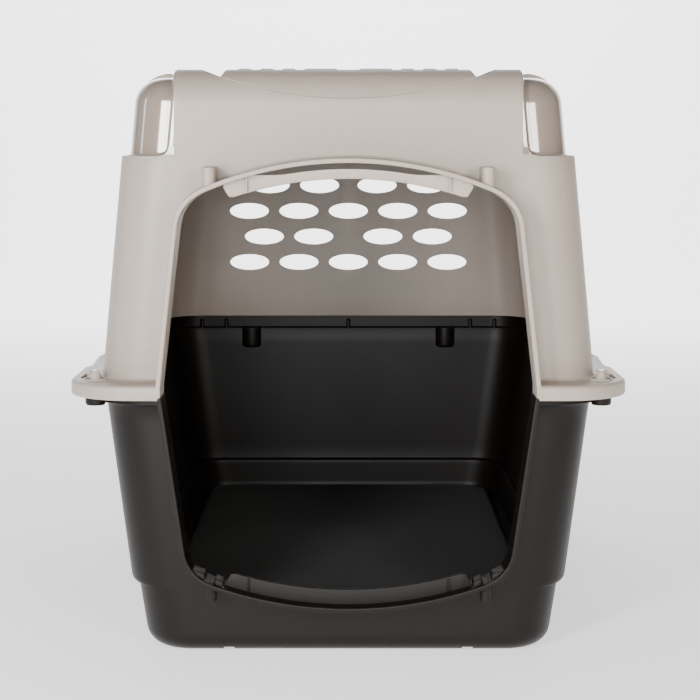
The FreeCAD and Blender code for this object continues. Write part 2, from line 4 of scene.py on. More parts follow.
import bmesh
import bpy
import numpy as np
from bpy.props import FloatProperty, FloatVectorProperty, PointerProperty
from bpy.types import Operator, Panel, PropertyGroup
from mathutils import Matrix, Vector

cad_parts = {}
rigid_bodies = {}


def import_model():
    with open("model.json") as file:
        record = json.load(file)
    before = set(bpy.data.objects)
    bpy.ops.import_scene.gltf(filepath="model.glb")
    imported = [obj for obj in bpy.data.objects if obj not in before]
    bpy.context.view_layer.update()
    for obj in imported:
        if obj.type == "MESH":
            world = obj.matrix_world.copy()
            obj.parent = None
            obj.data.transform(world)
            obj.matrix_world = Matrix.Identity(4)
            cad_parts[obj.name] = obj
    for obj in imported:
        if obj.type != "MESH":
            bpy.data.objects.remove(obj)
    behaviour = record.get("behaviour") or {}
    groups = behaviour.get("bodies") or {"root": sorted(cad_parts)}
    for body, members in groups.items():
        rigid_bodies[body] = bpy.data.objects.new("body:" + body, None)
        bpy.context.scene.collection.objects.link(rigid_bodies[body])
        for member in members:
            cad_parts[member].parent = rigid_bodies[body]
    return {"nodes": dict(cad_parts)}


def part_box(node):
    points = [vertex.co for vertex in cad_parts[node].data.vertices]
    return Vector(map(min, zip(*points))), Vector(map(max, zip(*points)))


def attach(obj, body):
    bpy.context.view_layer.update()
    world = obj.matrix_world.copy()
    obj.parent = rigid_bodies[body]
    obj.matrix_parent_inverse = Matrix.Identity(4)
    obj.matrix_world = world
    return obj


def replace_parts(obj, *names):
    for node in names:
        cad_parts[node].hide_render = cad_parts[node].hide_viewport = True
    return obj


bl_info = {
    "name": "Moulded travel kennel",
    "version": (1, 0, 0),
    "blender": (4, 5, 0),
    "location": "View3D > Sidebar > Kennel",
    "description": "Builds the visible surfaces and finishes of a two-piece moulded kennel",
    "category": "Add Mesh",
}

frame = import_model()
MM = 0.001
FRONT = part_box("upper_shell")[0].y  # front of the lip and of both flanges
MAT_LOW, MAT_HIGH = (np.array(corner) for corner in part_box("floor_mat"))
MAT_VOXEL = 6 * MM            # cell size of the pad before it swells
MAT_SWELL = 3 * MM            # how far the pad may swell
SIDE_LEAN, END_LEAN = 0.093, 0.03  # inward lean of the upper shell's walls per metre of height
LOWER_SIDE_LEAN, BASE_SIDE_LEAN = 0.129, 0.155
BOLT_HOLE = 3.4 * MM          # radius of the bolts' holes
ARC_STEPS = 6                 # columns in half of a corner


# ------------------------------------------------------------------ sizes

def length(name, description, default):
    """A size in metres for the panel."""
    return FloatProperty(name=name, description=description, default=default,
                         subtype="DISTANCE", unit="LENGTH")


def colour(name, description, default):
    """A colour for the panel."""
    return FloatVectorProperty(name=name, description=description, default=default,
                               size=4, min=0.0, max=1.0, subtype="COLOR")


class KennelShellSizes(PropertyGroup):
    """Sizes that both shells share, and those of the upper shell."""

    flange_half_width: length("Flange half width", "Half the width over the flange", 0.263)
    flange_half_length: length("Flange half length", "Half the length over the flange", 0.3555)
    flange_radius: length("Flange corner", "Plan radius of the flange corners", 0.065)
    plate_top: length("Plate top", "Height of the flange's upper face", 0.258)
    skirt_bottom: length("Skirt bottom", "Height of the skirt's lower edge", 0.244)
    wall: length("Wall", "Thickness of the moulded walls", 0.0032)
    foot_half_width: length("Wall foot half width", "Half width of the walls at the plate", 0.235)
    foot_half_length: length("Wall foot half length", "Half length of the walls at the plate", 0.323)
    corner_radius: length("Corner", "Plan radius of the corner columns", 0.044)
    roof_height: length("Roof", "Height of the roof without its ribs", 0.5488)
    roof_rounding: length("Roof rounding", "Radius where the walls turn into the roof", 0.034)
    column_height: length("Column height", "Height of the corner columns", 0.468)
    recess_depth: length("Recess depth", "How far the polished corners stand back", 0.008)
    recess_corner: length("Recess corner", "Radius in the lower corners of the polished recesses", 0.008)
    front_edge: length("Front panel edge", "Half width of the proud end panels at the roof", 0.1603)
    side_edge: length("Side panel edge", "Half length of the proud side panels", 0.198)
    vented_half: length("Vented recess half length", "Half length of the recess with the side vents", 0.178)
    vented_low: length("Vented recess low", "Bottom of the recess with the side vents", 0.292)
    vented_high: length("Vented recess high", "Top of the recess with the side vents", 0.452)
    smile_low: length("Roof panel front", "Lowest point of the roof panel's curved front edge", 0.520)
    smile_half: length("Roof panel curve", "Half width over which the curved edge climbs to the roof", 0.138)
    roof_panel_half: length("Roof panel half width", "Half width of the ribbed roof panel", 0.113)
    valley_half: length("Valley bottom", "Distance of the valleys' lowest line from the middle", 0.118)
    rib_height: length("Rib height", "Height of the roof ribs", 0.0012)


class KennelLowerSizes(PropertyGroup):
    """Sizes of the lower shell."""

    half_width: length("Half width", "Half width of the walls under the rim", 0.231)
    half_length: length("Half length", "Half length of the walls under the rim", 0.326)
    end_slope: FloatProperty(name="End slope", description="Inward lean of the end walls", default=0.005)
    rim_height: length("Rim height", "Height of the rim's underside", 0.239)
    rim_offset: length("Rim offset", "How far the rim stands out from the wall", 0.006)
    plate_high: length("Plate high", "Upper face of the flange plate", 0.2545)
    plate_low: length("Plate low", "Lower face of the flange plate", 0.2513)
    plate_inset: length("Plate inset", "Flange plate inside the upper flange's edge", 0.0041)
    base_height: length("Base height", "Height of the narrower base", 0.062)
    base_step: length("Base step", "How far the base stands in below the columns", 0.0065)
    base_rounding: length("Base rounding", "Radius along the bottom edge", 0.016)
    floor_height: length("Floor height", "Height of the moulded floor", 0.020)
    foot_rim: length("Foot rim", "Width of the rim round the hollow under the floor", 0.046)


class KennelDoorwaySizes(PropertyGroup):
    """Outline of the doorway and its lip."""

    half_width: length("Half width", "Half width at the seam", 0.1723)
    top: length("Top", "Highest point", 0.4614)
    bottom: length("Bottom", "Lowest point", 0.0512)
    top_radius: length("Top radius", "Radius of the doorway's top", 0.337)
    sill_radius: length("Sill radius", "Radius of the sill", 0.372)
    corner: length("Corner", "Length that each rounded corner takes up", 0.022)
    lip: length("Lip", "Thickness of the lip round the doorway", 0.0045)
    stop_drop: length("Top stop", "How far the top door stop hangs into the doorway", 0.0147)
    stop_rise: length("Sill stop", "How far the sill's door stop stands up", 0.0143)
    stop_setback: length("Stop setback", "Door stops behind the front of the lip", 0.0145)
    stop_thickness: length("Stop thickness", "Front to back size of the door stops", 0.0032)
    stop_half: length("Stop half length", "Half length of both door stops", 0.114)
    pin_spread: length("Pin spread", "Door pin sockets from the middle", 0.1275)
    pin_setback: length("Pin setback", "Door pin sockets behind the front of the lip", 0.0105)


class KennelFinishes(PropertyGroup):
    """Colours of the finishes."""

    taupe: colour("Taupe plastic", "Upper shell and nuts", (0.375, 0.315, 0.268, 1.0))
    bark: colour("Bark plastic", "Lower shell", (0.0052, 0.0036, 0.0026, 1.0))
    felt: colour("Mat felt", "Floor mat", (0.0105, 0.0105, 0.0108, 1.0))
    zinc: colour("Zinc", "Bolts", (0.62, 0.62, 0.63, 1.0))


# --------------------------------------------------------------- outlines


def side_columns(fractions, arc_steps=ARC_STEPS):
    """Columns of one side of a rounded rectangle, from one corner's middle to the next.

    A column's point is core * (half size - radius) + out * radius.  Along the
    straight side, core runs over the fractions and out points square to the
    side.  Round a corner, core stays put and out turns through 45 degrees.
    """
    arc = np.linspace(0.0, math.pi / 4, arc_steps + 1)
    turn = np.concatenate([-arc[::-1][:-1], np.zeros(len(fractions)), arc[1:]])
    along = np.concatenate([-np.ones(arc_steps), fractions, np.ones(arc_steps)])
    core = np.stack([along, -np.ones_like(along)], 1)
    out = np.stack([np.sin(turn), -np.cos(turn)], 1)
    return core, out


def outline_columns(end_fractions, side_fractions, arc_steps=ARC_STEPS):
    """Columns all the way round, counter-clockwise from the front left corner's middle."""
    cores, outs, sides = [], [], []
    for side in range(4):
        core, out = side_columns(side_fractions if side % 2 else end_fractions, arc_steps)
        quarter = side * math.pi / 2
        turn = np.round([[math.cos(quarter), math.sin(quarter)], [-math.sin(quarter), math.cos(quarter)]])
        cores.append((core @ turn)[:-1])
        outs.append((out @ turn)[:-1])
        sides.append(np.full(len(core) - 1, side))
    return np.concatenate(cores), np.concatenate(outs), np.concatenate(sides)


def outline(columns, half_x, half_y, radius):
    """Plan points of a rounded rectangle at the given columns."""
    core, out = columns[0], columns[1]
    half = np.stack([half_x - radius, half_y - radius], -1)
    return core * half + out * np.asarray(radius)[..., None]


def smooth(value):
    """Rises from 0 to 1 as value does, level at both ends."""
    value = np.clip(value, 0.0, 1.0)
    return value * value * (3 - 2 * value)


# A moulded step: distance past the edge, in mm, and the share of its depth
# reached there.  The proud edge is rounded tight and the foot more softly.
STEP = np.array([(-1.3, 0.0), (-0.6, 0.03), (-0.2, 0.12), (0.0, 0.28), (0.1, 0.62),
                 (0.4, 0.82), (1.1, 0.94), (2.2, 0.985), (3.8, 1.0)])


def with_step(values, edge, rising=True):
    """Adds a step's stations to a sorted list, and drops the values too near to it."""
    offsets = STEP[:, 0] * MM if rising else -STEP[::-1, 0] * MM
    stations = edge + offsets
    keep = [v for v in values if v < stations[0] - 1.5 * MM or v > stations[-1] + 1.5 * MM]
    return np.array(sorted(list(keep) + list(stations)))


def step_share(values, edge, rising=True):
    """Share of a step's depth at each value, from 0 before the edge to 1 past it."""
    distance = (values - edge) / MM
    if not rising:
        distance = -distance
    return np.interp(distance, STEP[:, 0], STEP[:, 1])


# -------------------------------------------------------------- mesh maker

def ring_faces(rows, columns, first=0, closed=True, flip=False):
    """Quads between neighbouring rows of points laid out row after row."""
    index = first + np.arange(rows * columns).reshape(rows, columns)
    following = np.roll(index, -1, 1) if closed else index[:, 1:]
    index = index if closed else index[:, :-1]
    quads = np.stack([index[:-1], following[:-1], following[1:], index[1:]], -1).reshape(-1, 4)
    return quads[:, ::-1] if flip else quads


def make_mesh(name, points, faces):
    """A mesh from arrays of points and faces."""
    mesh = bpy.data.meshes.new(name)
    mesh.from_pydata(np.asarray(points, float).tolist(), [], [list(map(int, face)) for face in faces])
    mesh.validate()
    mesh.update()
    return mesh


def weld(mesh, distance=2e-6):
    """Merges doubled points, drops faces without area and turns the faces outwards."""
    work = bmesh.new()
    work.from_mesh(mesh)
    bmesh.ops.remove_doubles(work, verts=work.verts, dist=distance)
    bmesh.ops.dissolve_degenerate(work, edges=work.edges, dist=distance)
    bmesh.ops.recalc_face_normals(work, faces=work.faces)
    work.to_mesh(mesh)
    work.free()
    mesh.update()
    return mesh


def new_piece(name, mesh, body, slot, material, sharp=math.radians(38)):
    """A smooth-shaded piece that rides on a body."""
    piece = bpy.data.objects.new(name, mesh)
    bpy.context.scene.collection.objects.link(piece)
    mesh.materials.clear()
    mesh.materials.append(material)
    mesh.shade_smooth()
    mesh.set_sharp_from_angle(angle=sharp)
    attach(piece, body)
    return piece


def apply_modifiers(piece):
    """Freezes a piece's modifiers into its mesh."""
    graph = bpy.context.evaluated_depsgraph_get()
    graph.update()
    mesh = bpy.data.meshes.new_from_object(piece.evaluated_get(graph), depsgraph=graph)
    old = piece.data
    piece.modifiers.clear()
    piece.data = mesh
    bpy.data.meshes.remove(old)


def cut(piece, tools):
    """Takes closed tool meshes out of a piece, all in one exact boolean."""
    collection = bpy.data.collections.new("cutters")
    for number, mesh in enumerate(tools):
        tool = bpy.data.objects.new("cutter_%d" % number, mesh)
        collection.objects.link(tool)
    bpy.context.scene.collection.children.link(collection)
    boolean = piece.modifiers.new("openings", "BOOLEAN")
    boolean.operation = "DIFFERENCE"
    boolean.solver = "EXACT"
    boolean.operand_type = "COLLECTION"
    boolean.collection = collection
    apply_modifiers(piece)
    for tool in list(collection.objects):
        mesh = tool.data
        bpy.data.objects.remove(tool)
        bpy.data.meshes.remove(mesh)
    bpy.data.collections.remove(collection)


def capped(rows):
    """Closed solid from rows of points: quads between the rows and a flat face at both ends."""
    rows = np.asarray(rows, float)
    length, count = rows.shape[:2]
    faces = [list(face) for face in ring_faces(length, count)]
    faces += [list(range(count))[::-1], list(range((length - 1) * count, length * count))]
    return rows.reshape(-1, 3), faces


def sweep(path_points, path_normals, profile):
    """Closed profile carried along a path in the plane of the doorway.

    profile holds a list of (outward, y) pairs for each path point.  Each point
    is path point + outward * path normal, at depth y.
    """
    across = path_points[:, None, :] + profile[..., :1] * path_normals[:, None, :]
    return capped(np.stack([across[..., 0], profile[..., 1], across[..., 1]], -1))


def welded(name, *parts):
    """One welded mesh from several (points, faces) pairs."""
    points, faces, offset = [], [], 0
    for part_points, part_faces in parts:
        points.append(np.asarray(part_points, float))
        faces += [[int(i) + offset for i in face] for face in part_faces]
        offset += len(part_points)
    return weld(make_mesh(name, np.concatenate(points), faces))


def revolved(centre, stations, segments=32):
    """Closed turned solid: stations are (radius, height) pairs.

    Each point is centre + radius * (cos, sin) of its angle, and both ends are
    closed by a flat face.
    """
    angle = np.linspace(0, 2 * math.pi, segments, endpoint=False)
    stations = np.asarray(stations, float)
    u = stations[:, :1] * np.cos(angle)
    v = stations[:, :1] * np.sin(angle)
    return capped(np.stack([u, v, np.broadcast_to(stations[:, 1:], u.shape)], -1) + np.asarray(centre, float))


def soft_box(low, high, radius, steps=3):
    """Box with rounded upright and level edges, as a stack of rounded rectangles."""
    low, high = np.asarray(low, float), np.asarray(high, float)
    middle, half = (low + high) / 2, (high - low) / 2
    columns = outline_columns(np.array([-1.0, 1.0]), np.array([-1.0, 1.0]), steps)
    angle = np.linspace(0, math.pi / 2, steps + 1)
    inset = radius * (1 - np.sin(angle))
    rise = radius * (1 - np.cos(angle))
    levels = [(i, low[2] + r) for i, r in zip(inset, rise)]
    levels += [(i, high[2] - r) for i, r in zip(inset[::-1], rise[::-1])]
    rows = []
    for off, z in levels:
        plan = outline(columns, half[0] - off, half[1] - off, max(radius - off, radius * 0.2))
        rows.append(np.column_stack([plan + middle[:2], np.full(len(plan), z)]))
    return capped(rows)


def cap_patch(loop, columns, end_count, side_count):
    """Grid that closes a rounded rectangle loop, with its edge on the loop.

    The two ends give the columns and the two sides give the rows.  Within the
    straight stretches, a point keeps its end column's x and its side row's y.
    In the corner stretches, both are drawn towards the loop in proportion.
    """
    end = loop[:end_count]
    side = loop[end_count - 1:end_count - 1 + side_count]
    core_x = np.abs(end[np.abs(columns[1][:end_count, 0]) < 1e-9, 0]).max()
    core_y = np.abs(side[np.abs(columns[1][end_count - 1:end_count - 1 + side_count, 1]) < 1e-9, 1]).max()
    share_x = np.clip((np.abs(end[:, 0]) - core_x) / (np.abs(end[0, 0]) - core_x), 0, 1)
    share_y = np.clip((np.abs(side[:, 1]) - core_y) / (np.abs(side[0, 1]) - core_y), 0, 1)
    inner_x = np.minimum(np.abs(end[:, 0]), core_x)
    inner_y = np.minimum(np.abs(side[:, 1]), core_y)
    x = np.sign(end[:, 0]) * (inner_x + share_x * (np.abs(side[:, 0]) - core_x)[:, None])
    y = np.sign(side[:, 1])[:, None] * (inner_y[:, None] + share_y[:, None] * (np.abs(end[:, 1]) - core_y))
    return np.stack([x, y, np.full_like(x, loop[0, 2])], -1)


def skin_points(rows, columns, end_count, side_count, patch_z=None):
    """Points and faces of rows round the outline, closed by a patch at the last row."""
    rows = np.asarray(rows)
    patch = cap_patch(rows[-1], columns, end_count, side_count)
    if patch_z is not None:
        patch[..., 2] = patch_z(patch)
    points = np.concatenate([rows.reshape(-1, 3), patch.reshape(-1, 3)])
    faces = np.concatenate([ring_faces(rows.shape[0], rows.shape[1]),
                            ring_faces(patch.shape[0], patch.shape[1], rows.size // 3, closed=False)])
    return points, faces


def closed_skin(outer, inner, count):
    """Joins an outer and an inner skin along their first rows into one solid."""
    points = np.concatenate([outer[0], inner[0]])
    offset = len(outer[0])
    first = np.arange(count)
    bridge = np.stack([first, np.roll(first, -1), np.roll(first, -1) + offset, first + offset], -1)
    return points, np.concatenate([outer[1], (inner[1] + offset)[:, ::-1], bridge[:, ::-1]])


# ------------------------------------------------------------ upper shell

def upper_columns(sizes, inset):
    """Columns and their shares of the polished corner and vented side recesses."""
    rise = sizes.roof_height - sizes.plate_top
    roof_half_x = sizes.foot_half_width - SIDE_LEAN * rise - sizes.corner_radius
    roof_half_y = sizes.foot_half_length - END_LEAN * rise - sizes.corner_radius
    panel, valley = sizes.roof_panel_half, sizes.valley_half
    front = [value * MM for value in (0, 30, 60, 85, 100, 108, 111)]
    front += list(np.linspace(panel - MM, valley + MM, 8))
    front += [value * MM for value in (122, 127, 132, 136, 138, 140, 144, 149, 154)]
    edge = sizes.front_edge - inset
    front = np.minimum(with_step(front, edge), roof_half_x)
    side_edge = sizes.side_edge - inset
    vented = sizes.vented_half + inset
    side = [value * MM for value in (0, 40, 80, 120, 160, 215, 235, 258)]
    side = with_step(with_step(side, vented, rising=False), side_edge)
    front_all = np.unique(np.concatenate([-front, front])) / roof_half_x
    side_all = np.unique(np.concatenate([-side, side, [-roof_half_y, roof_half_y]])) / roof_half_y
    front_all[0], front_all[-1] = -1.0, 1.0
    columns = outline_columns(front_all, side_all)
    core, out, sides = columns
    ends = sides % 2 == 0
    place = np.where(ends, np.abs(core[:, 0]) * roof_half_x, np.abs(core[:, 1]) * roof_half_y)
    corner_edge = np.where(ends, edge, side_edge)
    on_arc = np.all(np.abs(out) > 1e-9, axis=1)
    corner = np.where(on_arc, 1.0, step_share(place, corner_edge))
    past_edge = np.where(on_arc, 1.0, place - corner_edge)
    vent_share = np.where(ends | on_arc, 0.0, step_share(place, vented, rising=False))
    counts = (len(front_all) + 2 * ARC_STEPS, len(side_all) + 2 * ARC_STEPS)
    return columns, corner, past_edge, vent_share, roof_half_x, counts


def upper_skin(sizes, inset=0.0):
    """Skin of the upper shell from the skirt to the roof, inset by a wall.

    Every row follows a rounded rectangle.  The flange's rows blend from the
    flange's outline to the walls' outline.  The walls lean in evenly, then
    turn into the roof along a quarter circle.  Recesses push the skin in along
    its own normal by depth * column share * row share.  In the middle of both
    ends the last wall row dips along a parabola, and the roof panel starts
    there behind a narrow groove.
    """
    columns, corner, past_edge, vent_share, roof_half_x, counts = upper_columns(sizes, inset)
    core, out, sides = columns
    count = len(core)
    radius = sizes.corner_radius - inset
    roof = sizes.roof_height - inset
    rounding = sizes.roof_rounding - inset
    fillet_z = sizes.roof_height - sizes.roof_rounding

    def wall_plan(z, off=0.0):
        rise = np.asarray(z, float) - sizes.plate_top
        return outline(columns, sizes.foot_half_width - inset - SIDE_LEAN * rise - off,
                       sizes.foot_half_length - inset - END_LEAN * rise - off, np.full(count, radius) - off)

    rows = []

    def add(plan, z):
        rows.append(np.column_stack([plan, np.broadcast_to(z, count)]))

    def flange_plan(off):
        return outline(columns, sizes.flange_half_width - inset - off, sizes.flange_half_length - inset - off,
                       np.full(count, sizes.flange_radius - inset - off))

    outside = inset == 0
    edge = max(0.004 - inset, 0.0008)
    direction = out / np.maximum(np.linalg.norm(out, axis=1), 1e-9)[:, None]
    scallop = flange_scallops(core, out, sides) if outside else 0.0
    top = sizes.plate_top - inset
    if outside:
        add(flange_plan(0.0012), sizes.skirt_bottom)
        add(flange_plan(0.0003), sizes.skirt_bottom + 0.0004)
        add(flange_plan(0.0), sizes.skirt_bottom + 0.0014)
    else:
        add(flange_plan(-0.0008), sizes.skirt_bottom)
        add(flange_plan(0.0), sizes.skirt_bottom + 0.001)
    add(flange_plan(0.0), top - edge - 0.003)
    for angle in np.linspace(0, math.pi / 2, 6):
        add(flange_plan(edge * (1 - math.cos(angle)) + scallop * 0.8 * math.cos(angle)),
            top - edge * (1 - math.sin(angle)) - scallop)
    inner = flange_plan(edge)
    foot = wall_plan(top, -0.004 if outside else -0.001)
    for share in (0.15, 0.3, 0.5, 0.75, 1.0):
        fade = scallop * (1 - smooth(share / 0.5))
        add(inner + (foot - inner) * share, top - fade)
    if outside:
        for angle in np.linspace(0, math.pi / 2, 5)[1:]:
            add(wall_plan(top + 0.004 * (1 - math.cos(angle)), -0.004 * (1 - math.sin(angle))),
                top + 0.004 * (1 - math.cos(angle)))
    ledge = sizes.column_height - inset
    low, high = sizes.vented_low - inset, sizes.vented_high + inset
    stations = [sizes.plate_top + value for value in (0.008, 0.016, 0.03)]
    stations += [0.31, 0.34, 0.37, 0.40, 0.43]
    stations = with_step(with_step(with_step(stations, low), high, rising=False), ledge)
    stations = np.concatenate([stations, [0.478, 0.487, 0.498, 0.507]])
    bend = sizes.recess_corner
    arc = bend - np.sqrt(np.maximum(bend ** 2 - np.clip(bend - past_edge, 0, bend) ** 2, 0))
    for z in stations:
        level = z + arc * smooth(1 - abs(z - ledge) / 0.038)
        rise_share = step_share(np.array([z]), ledge)[0]
        vent_rows = step_share(np.array([z]), low)[0] * step_share(np.array([z]), high, rising=False)[0]
        push = sizes.recess_depth * np.maximum(corner * rise_share, vent_share * vent_rows)
        add(wall_plan(level) - direction * push[:, None], level)
    ends = sides % 2 == 0
    x = np.where(ends, core[:, 0] * roof_half_x, 1.0)
    climb = np.minimum((x / sizes.smile_half) ** 2, 1.0)
    dip = sizes.smile_low + (sizes.roof_height - sizes.smile_low) * climb
    last = np.arcsin(np.clip((dip - fillet_z) / sizes.roof_rounding, 0, 1))
    last = np.minimum(last, math.radians(78))
    middle = smooth((sizes.roof_panel_half + 0.003 - np.abs(x)) / 0.002) * ends * outside

    def fillet(angle, sink):
        """A row on the quarter circle at that angle, sunk along its normal."""
        push = sink + sizes.recess_depth * corner
        reach = rounding * (1 - np.cos(angle)) + push * np.cos(angle)
        plan = wall_plan(np.full(count, fillet_z)) - direction * reach[:, None]
        z = fillet_z + (rounding - push) * np.sin(angle)
        return np.column_stack([plan, np.minimum(z, roof_section(sizes, x, inset, ends))])

    for share in np.linspace(0, 1, 8):
        rows.append(fillet(last * share, 0.0))
    groove = ((0.25 if outside else 0.4, 1.3), (0.9, 1.6), (1.3, 0.8), (1.9, 0.3))
    for gap, depth in groove:
        rows.append(fillet(np.minimum(last + gap * MM / rounding, math.pi / 2), depth * MM * middle))
    start = last + 0.0019 / rounding
    for share in np.linspace(0, 1, 7)[1:]:
        rows.append(fillet(start + (math.pi / 2 - start) * share, 0.0003 * middle * (1 - share)))

    def roof_z(patch):
        """Roof height: flat, with the two valleys and the four sunk corners."""
        x_edge = step_share(np.abs(patch[..., 0]), sizes.front_edge - inset)
        y_edge = step_share(np.abs(patch[..., 1]), sizes.side_edge - inset)
        z = roof - sizes.recess_depth * x_edge * y_edge
        return np.minimum(z, roof_section(sizes, patch[..., 0], inset, True))

    points, faces = skin_points(rows, columns, counts[0], counts[1], roof_z)
    return points, faces, count


def roof_section(sizes, x, inset, ends):
    """Cross-section of the roof: a sloping valley each side of the roof panel.

    From the rails inwards the height falls along the end panels' parabola to
    the valley line, then climbs a soft step to the panel.
    """
    roof = sizes.roof_height - inset
    away = np.abs(x)
    span = sizes.roof_height - sizes.smile_low
    slope = sizes.smile_low - inset + span * np.minimum((away / sizes.smile_half) ** 2, 1.0)
    floor = sizes.smile_low - inset + span * (sizes.valley_half / sizes.smile_half) ** 2
    climb = smooth((sizes.valley_half - inset - away) / (sizes.valley_half - sizes.roof_panel_half + 0.001))
    section = np.where(away >= sizes.valley_half - inset, slope, floor + (roof - floor) * climb)
    return np.where(ends, section, roof)


def flange_scallops(core, out, sides):
    """Shallow dips along the flange's side edges, for fingers: depth at each column."""
    place = core[:, 1] * 0.2703
    wave = smooth((np.cos(place / 0.0875 * 2 * math.pi) + 0.35) / 0.5)
    return 0.0022 * wave * (sides % 2 == 1) * (np.abs(place) < 0.24) * (np.abs(out[:, 0]) > 0.99)


def doorway_arc(door, x, up):
    """Height of the doorway's upper or lower arc at a distance from the middle."""
    if up:
        return door.top - door.top_radius + np.sqrt(door.top_radius ** 2 - x * x)
    return door.bottom + door.sill_radius - np.sqrt(door.sill_radius ** 2 - x * x)


def end_wall(shell, z):
    """Half length of the upper shell's end walls at a height."""
    return shell.foot_half_length - END_LEAN * (z - shell.plate_top)


def doorway_path(door, shell, up, steps=14):
    """Points and outward normals of half the doorway, from its right end to its left end.

    Each side leans in evenly from the seam, the middle is a shallow arc, and a
    quadratic curve rounds each corner between them.
    """
    seam = shell.plate_top - shell.wall
    sign, lean = (1.0, 0.112) if up else (-1.0, 0.142)
    end = shell.skirt_bottom + (0.0 if up else 0.003)

    def side_x(z):
        return door.half_width - lean * np.maximum(sign * (z - seam), 0)

    meet_x = door.half_width
    for _ in range(20):
        meet_x = float(side_x(doorway_arc(door, meet_x, up)))
    meet = np.array([meet_x, float(doorway_arc(door, meet_x, up))])
    side_z = meet[1] - sign * door.corner
    on_side = np.array([float(side_x(side_z)), side_z])
    on_arch = np.array([meet_x - door.corner, float(doorway_arc(door, meet_x - door.corner, up))])
    straight_z = np.concatenate([[end], np.linspace(seam if up else end - 0.004, side_z, 10)])
    straight = np.column_stack([side_x(straight_z), straight_z])
    t = np.linspace(0, 1, 10)[1:-1, None]
    corner = (1 - t) ** 2 * on_side + 2 * t * (1 - t) * meet + t ** 2 * on_arch
    arch_x = np.linspace(on_arch[0], 0, steps)
    half = np.concatenate([straight, corner, np.column_stack([arch_x, doorway_arc(door, arch_x, up)])])
    points = np.concatenate([half, (half * [-1, 1])[::-1][1:]])
    along = np.gradient(points, axis=0)
    along /= np.linalg.norm(along, axis=1)[:, None]
    return points, np.column_stack([along[:, 1], -along[:, 0]]) * sign


def lip_profile(wall_front, wall_back, lip, front, flare=0.003):
    """Cross-section of the lip at each path point, as (outward, y) pairs.

    The front rim is rounded on both edges and the outside flares into the wall.
    wall_front and wall_back are the wall's two faces at each path point.
    """
    r = lip * 0.24
    turn = np.linspace(0, math.pi / 2, 4)
    rim = [(r - r * math.cos(a), r - r * math.sin(a)) for a in turn]
    rim += [(lip - r + r * math.sin(a), r - r * math.cos(a)) for a in turn]
    count = len(wall_front)
    front = np.broadcast_to(front, count)
    profile = [np.column_stack([np.full(count, outward), front + depth]) for outward, depth in rim]
    for a in np.linspace(0, math.pi / 2, 5):
        outward = lip + flare * (1 - math.cos(a))
        profile.append(np.column_stack([np.full(count, outward), wall_front - flare * (1 - math.sin(a))]))
    profile.append(np.column_stack([np.full(count, lip + flare), wall_front + 0.0012]))
    profile.append(np.column_stack([np.full(count, 0.0012), wall_back + 0.0004]))
    profile.append(np.column_stack([np.full(count, 0.0), wall_back - 0.0008]))
    return np.stack(profile, 1)


def doorway_cutter(path, door, far, up, flush_below=-1.0):
    """Closed cutter inside the lip's thickness, from in front of the lip to a depth.

    Both its ends reach past the path's ends.  Below a height it stops almost at
    the doorway's own face, so that the skirt reaches the doorway in front of the lip.
    """
    points, normals = path
    past = [0, -0.02 if up else 0.02]
    points = np.concatenate([points[:1] + past, points, points[-1:] + past])
    normals = np.concatenate([normals[:1], normals, normals[-1:]])
    edge = points + normals * np.where(points[:, 1:] < flush_below, 0.0003, door.lip * 0.5)
    rows = [np.column_stack([edge[:, 0], np.full(len(edge), y), edge[:, 1]]) for y in (FRONT - 0.02, far)]
    return welded("doorway", capped(rows))


def vent_cutters(sizes):
    """Oval cutters with flared ends, so the vents' edges come out rounded.

    Each station's radius grows along a quarter circle towards both faces of
    the wall, and the cutter stands square to the leaning wall.
    """
    half_width, half_height, flare = 0.0255, 0.0102, 0.0009
    turn = np.linspace(0, math.pi / 2, 4)
    out_side = [(flare * (1 - math.cos(a)), -flare + flare * math.sin(a) - 0.00005) for a in turn]
    out_side.append((flare, 0.006))
    stations = [(grow, -sizes.wall - place) for grow, place in out_side[::-1]] + out_side
    angle = np.linspace(0, 2 * math.pi, 40, endpoint=False)

    def cutter(place, z0, side):
        """A vent in the rear wall if side is 0, and else in that side's wall."""
        foot, lean = (sizes.foot_half_width - sizes.recess_depth, SIDE_LEAN) if side else \
            (sizes.foot_half_length, END_LEAN)
        tilt = math.atan(lean)
        wall_at = foot - lean * (z0 - sizes.plate_top)
        rows = []
        for grow, depth in stations:
            across = place + (half_width + grow) * np.cos(angle)
            up = (half_height + grow) * np.sin(angle)
            outward = wall_at + depth * math.cos(tilt) - up * math.sin(tilt)
            z = z0 + up * math.cos(tilt) + depth * math.sin(tilt)
            rows.append(np.column_stack([side * outward, across, z] if side else [across, outward, z]))
        return welded("vent", capped(rows))

    tools = []
    pitch, lowest, spacing = 0.065, 0.326, 0.0337
    for row, stagger in enumerate((0.0, 0.7, 0.0, 0.58)):
        z = lowest + row * spacing
        first = stagger * pitch
        places = sorted({round(sign * (first + step * pitch), 5) for sign in (-1, 1)
                         for step in range(3) if first + step * pitch < 0.14})
        tools += [cutter(x, z, 0) for x in places]
        for step in range(4):
            place = (0.5 * (row % 2) + step) * pitch
            if place + half_width < sizes.vented_half - 0.008:
                tools += [cutter(y, z, side) for y in sorted({-place, place}) for side in (-1, 1)]
    return tools


FASTENERS = {}


def fastener_spots():
    """Plan place of each bolt, read from its own node's box."""
    if not FASTENERS:
        for name in frame["nodes"]:
            if name.startswith("bolt_"):
                low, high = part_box(name)
                FASTENERS[name[5:]] = ((low.x + high.x) / 2, (low.y + high.y) / 2)
    return FASTENERS


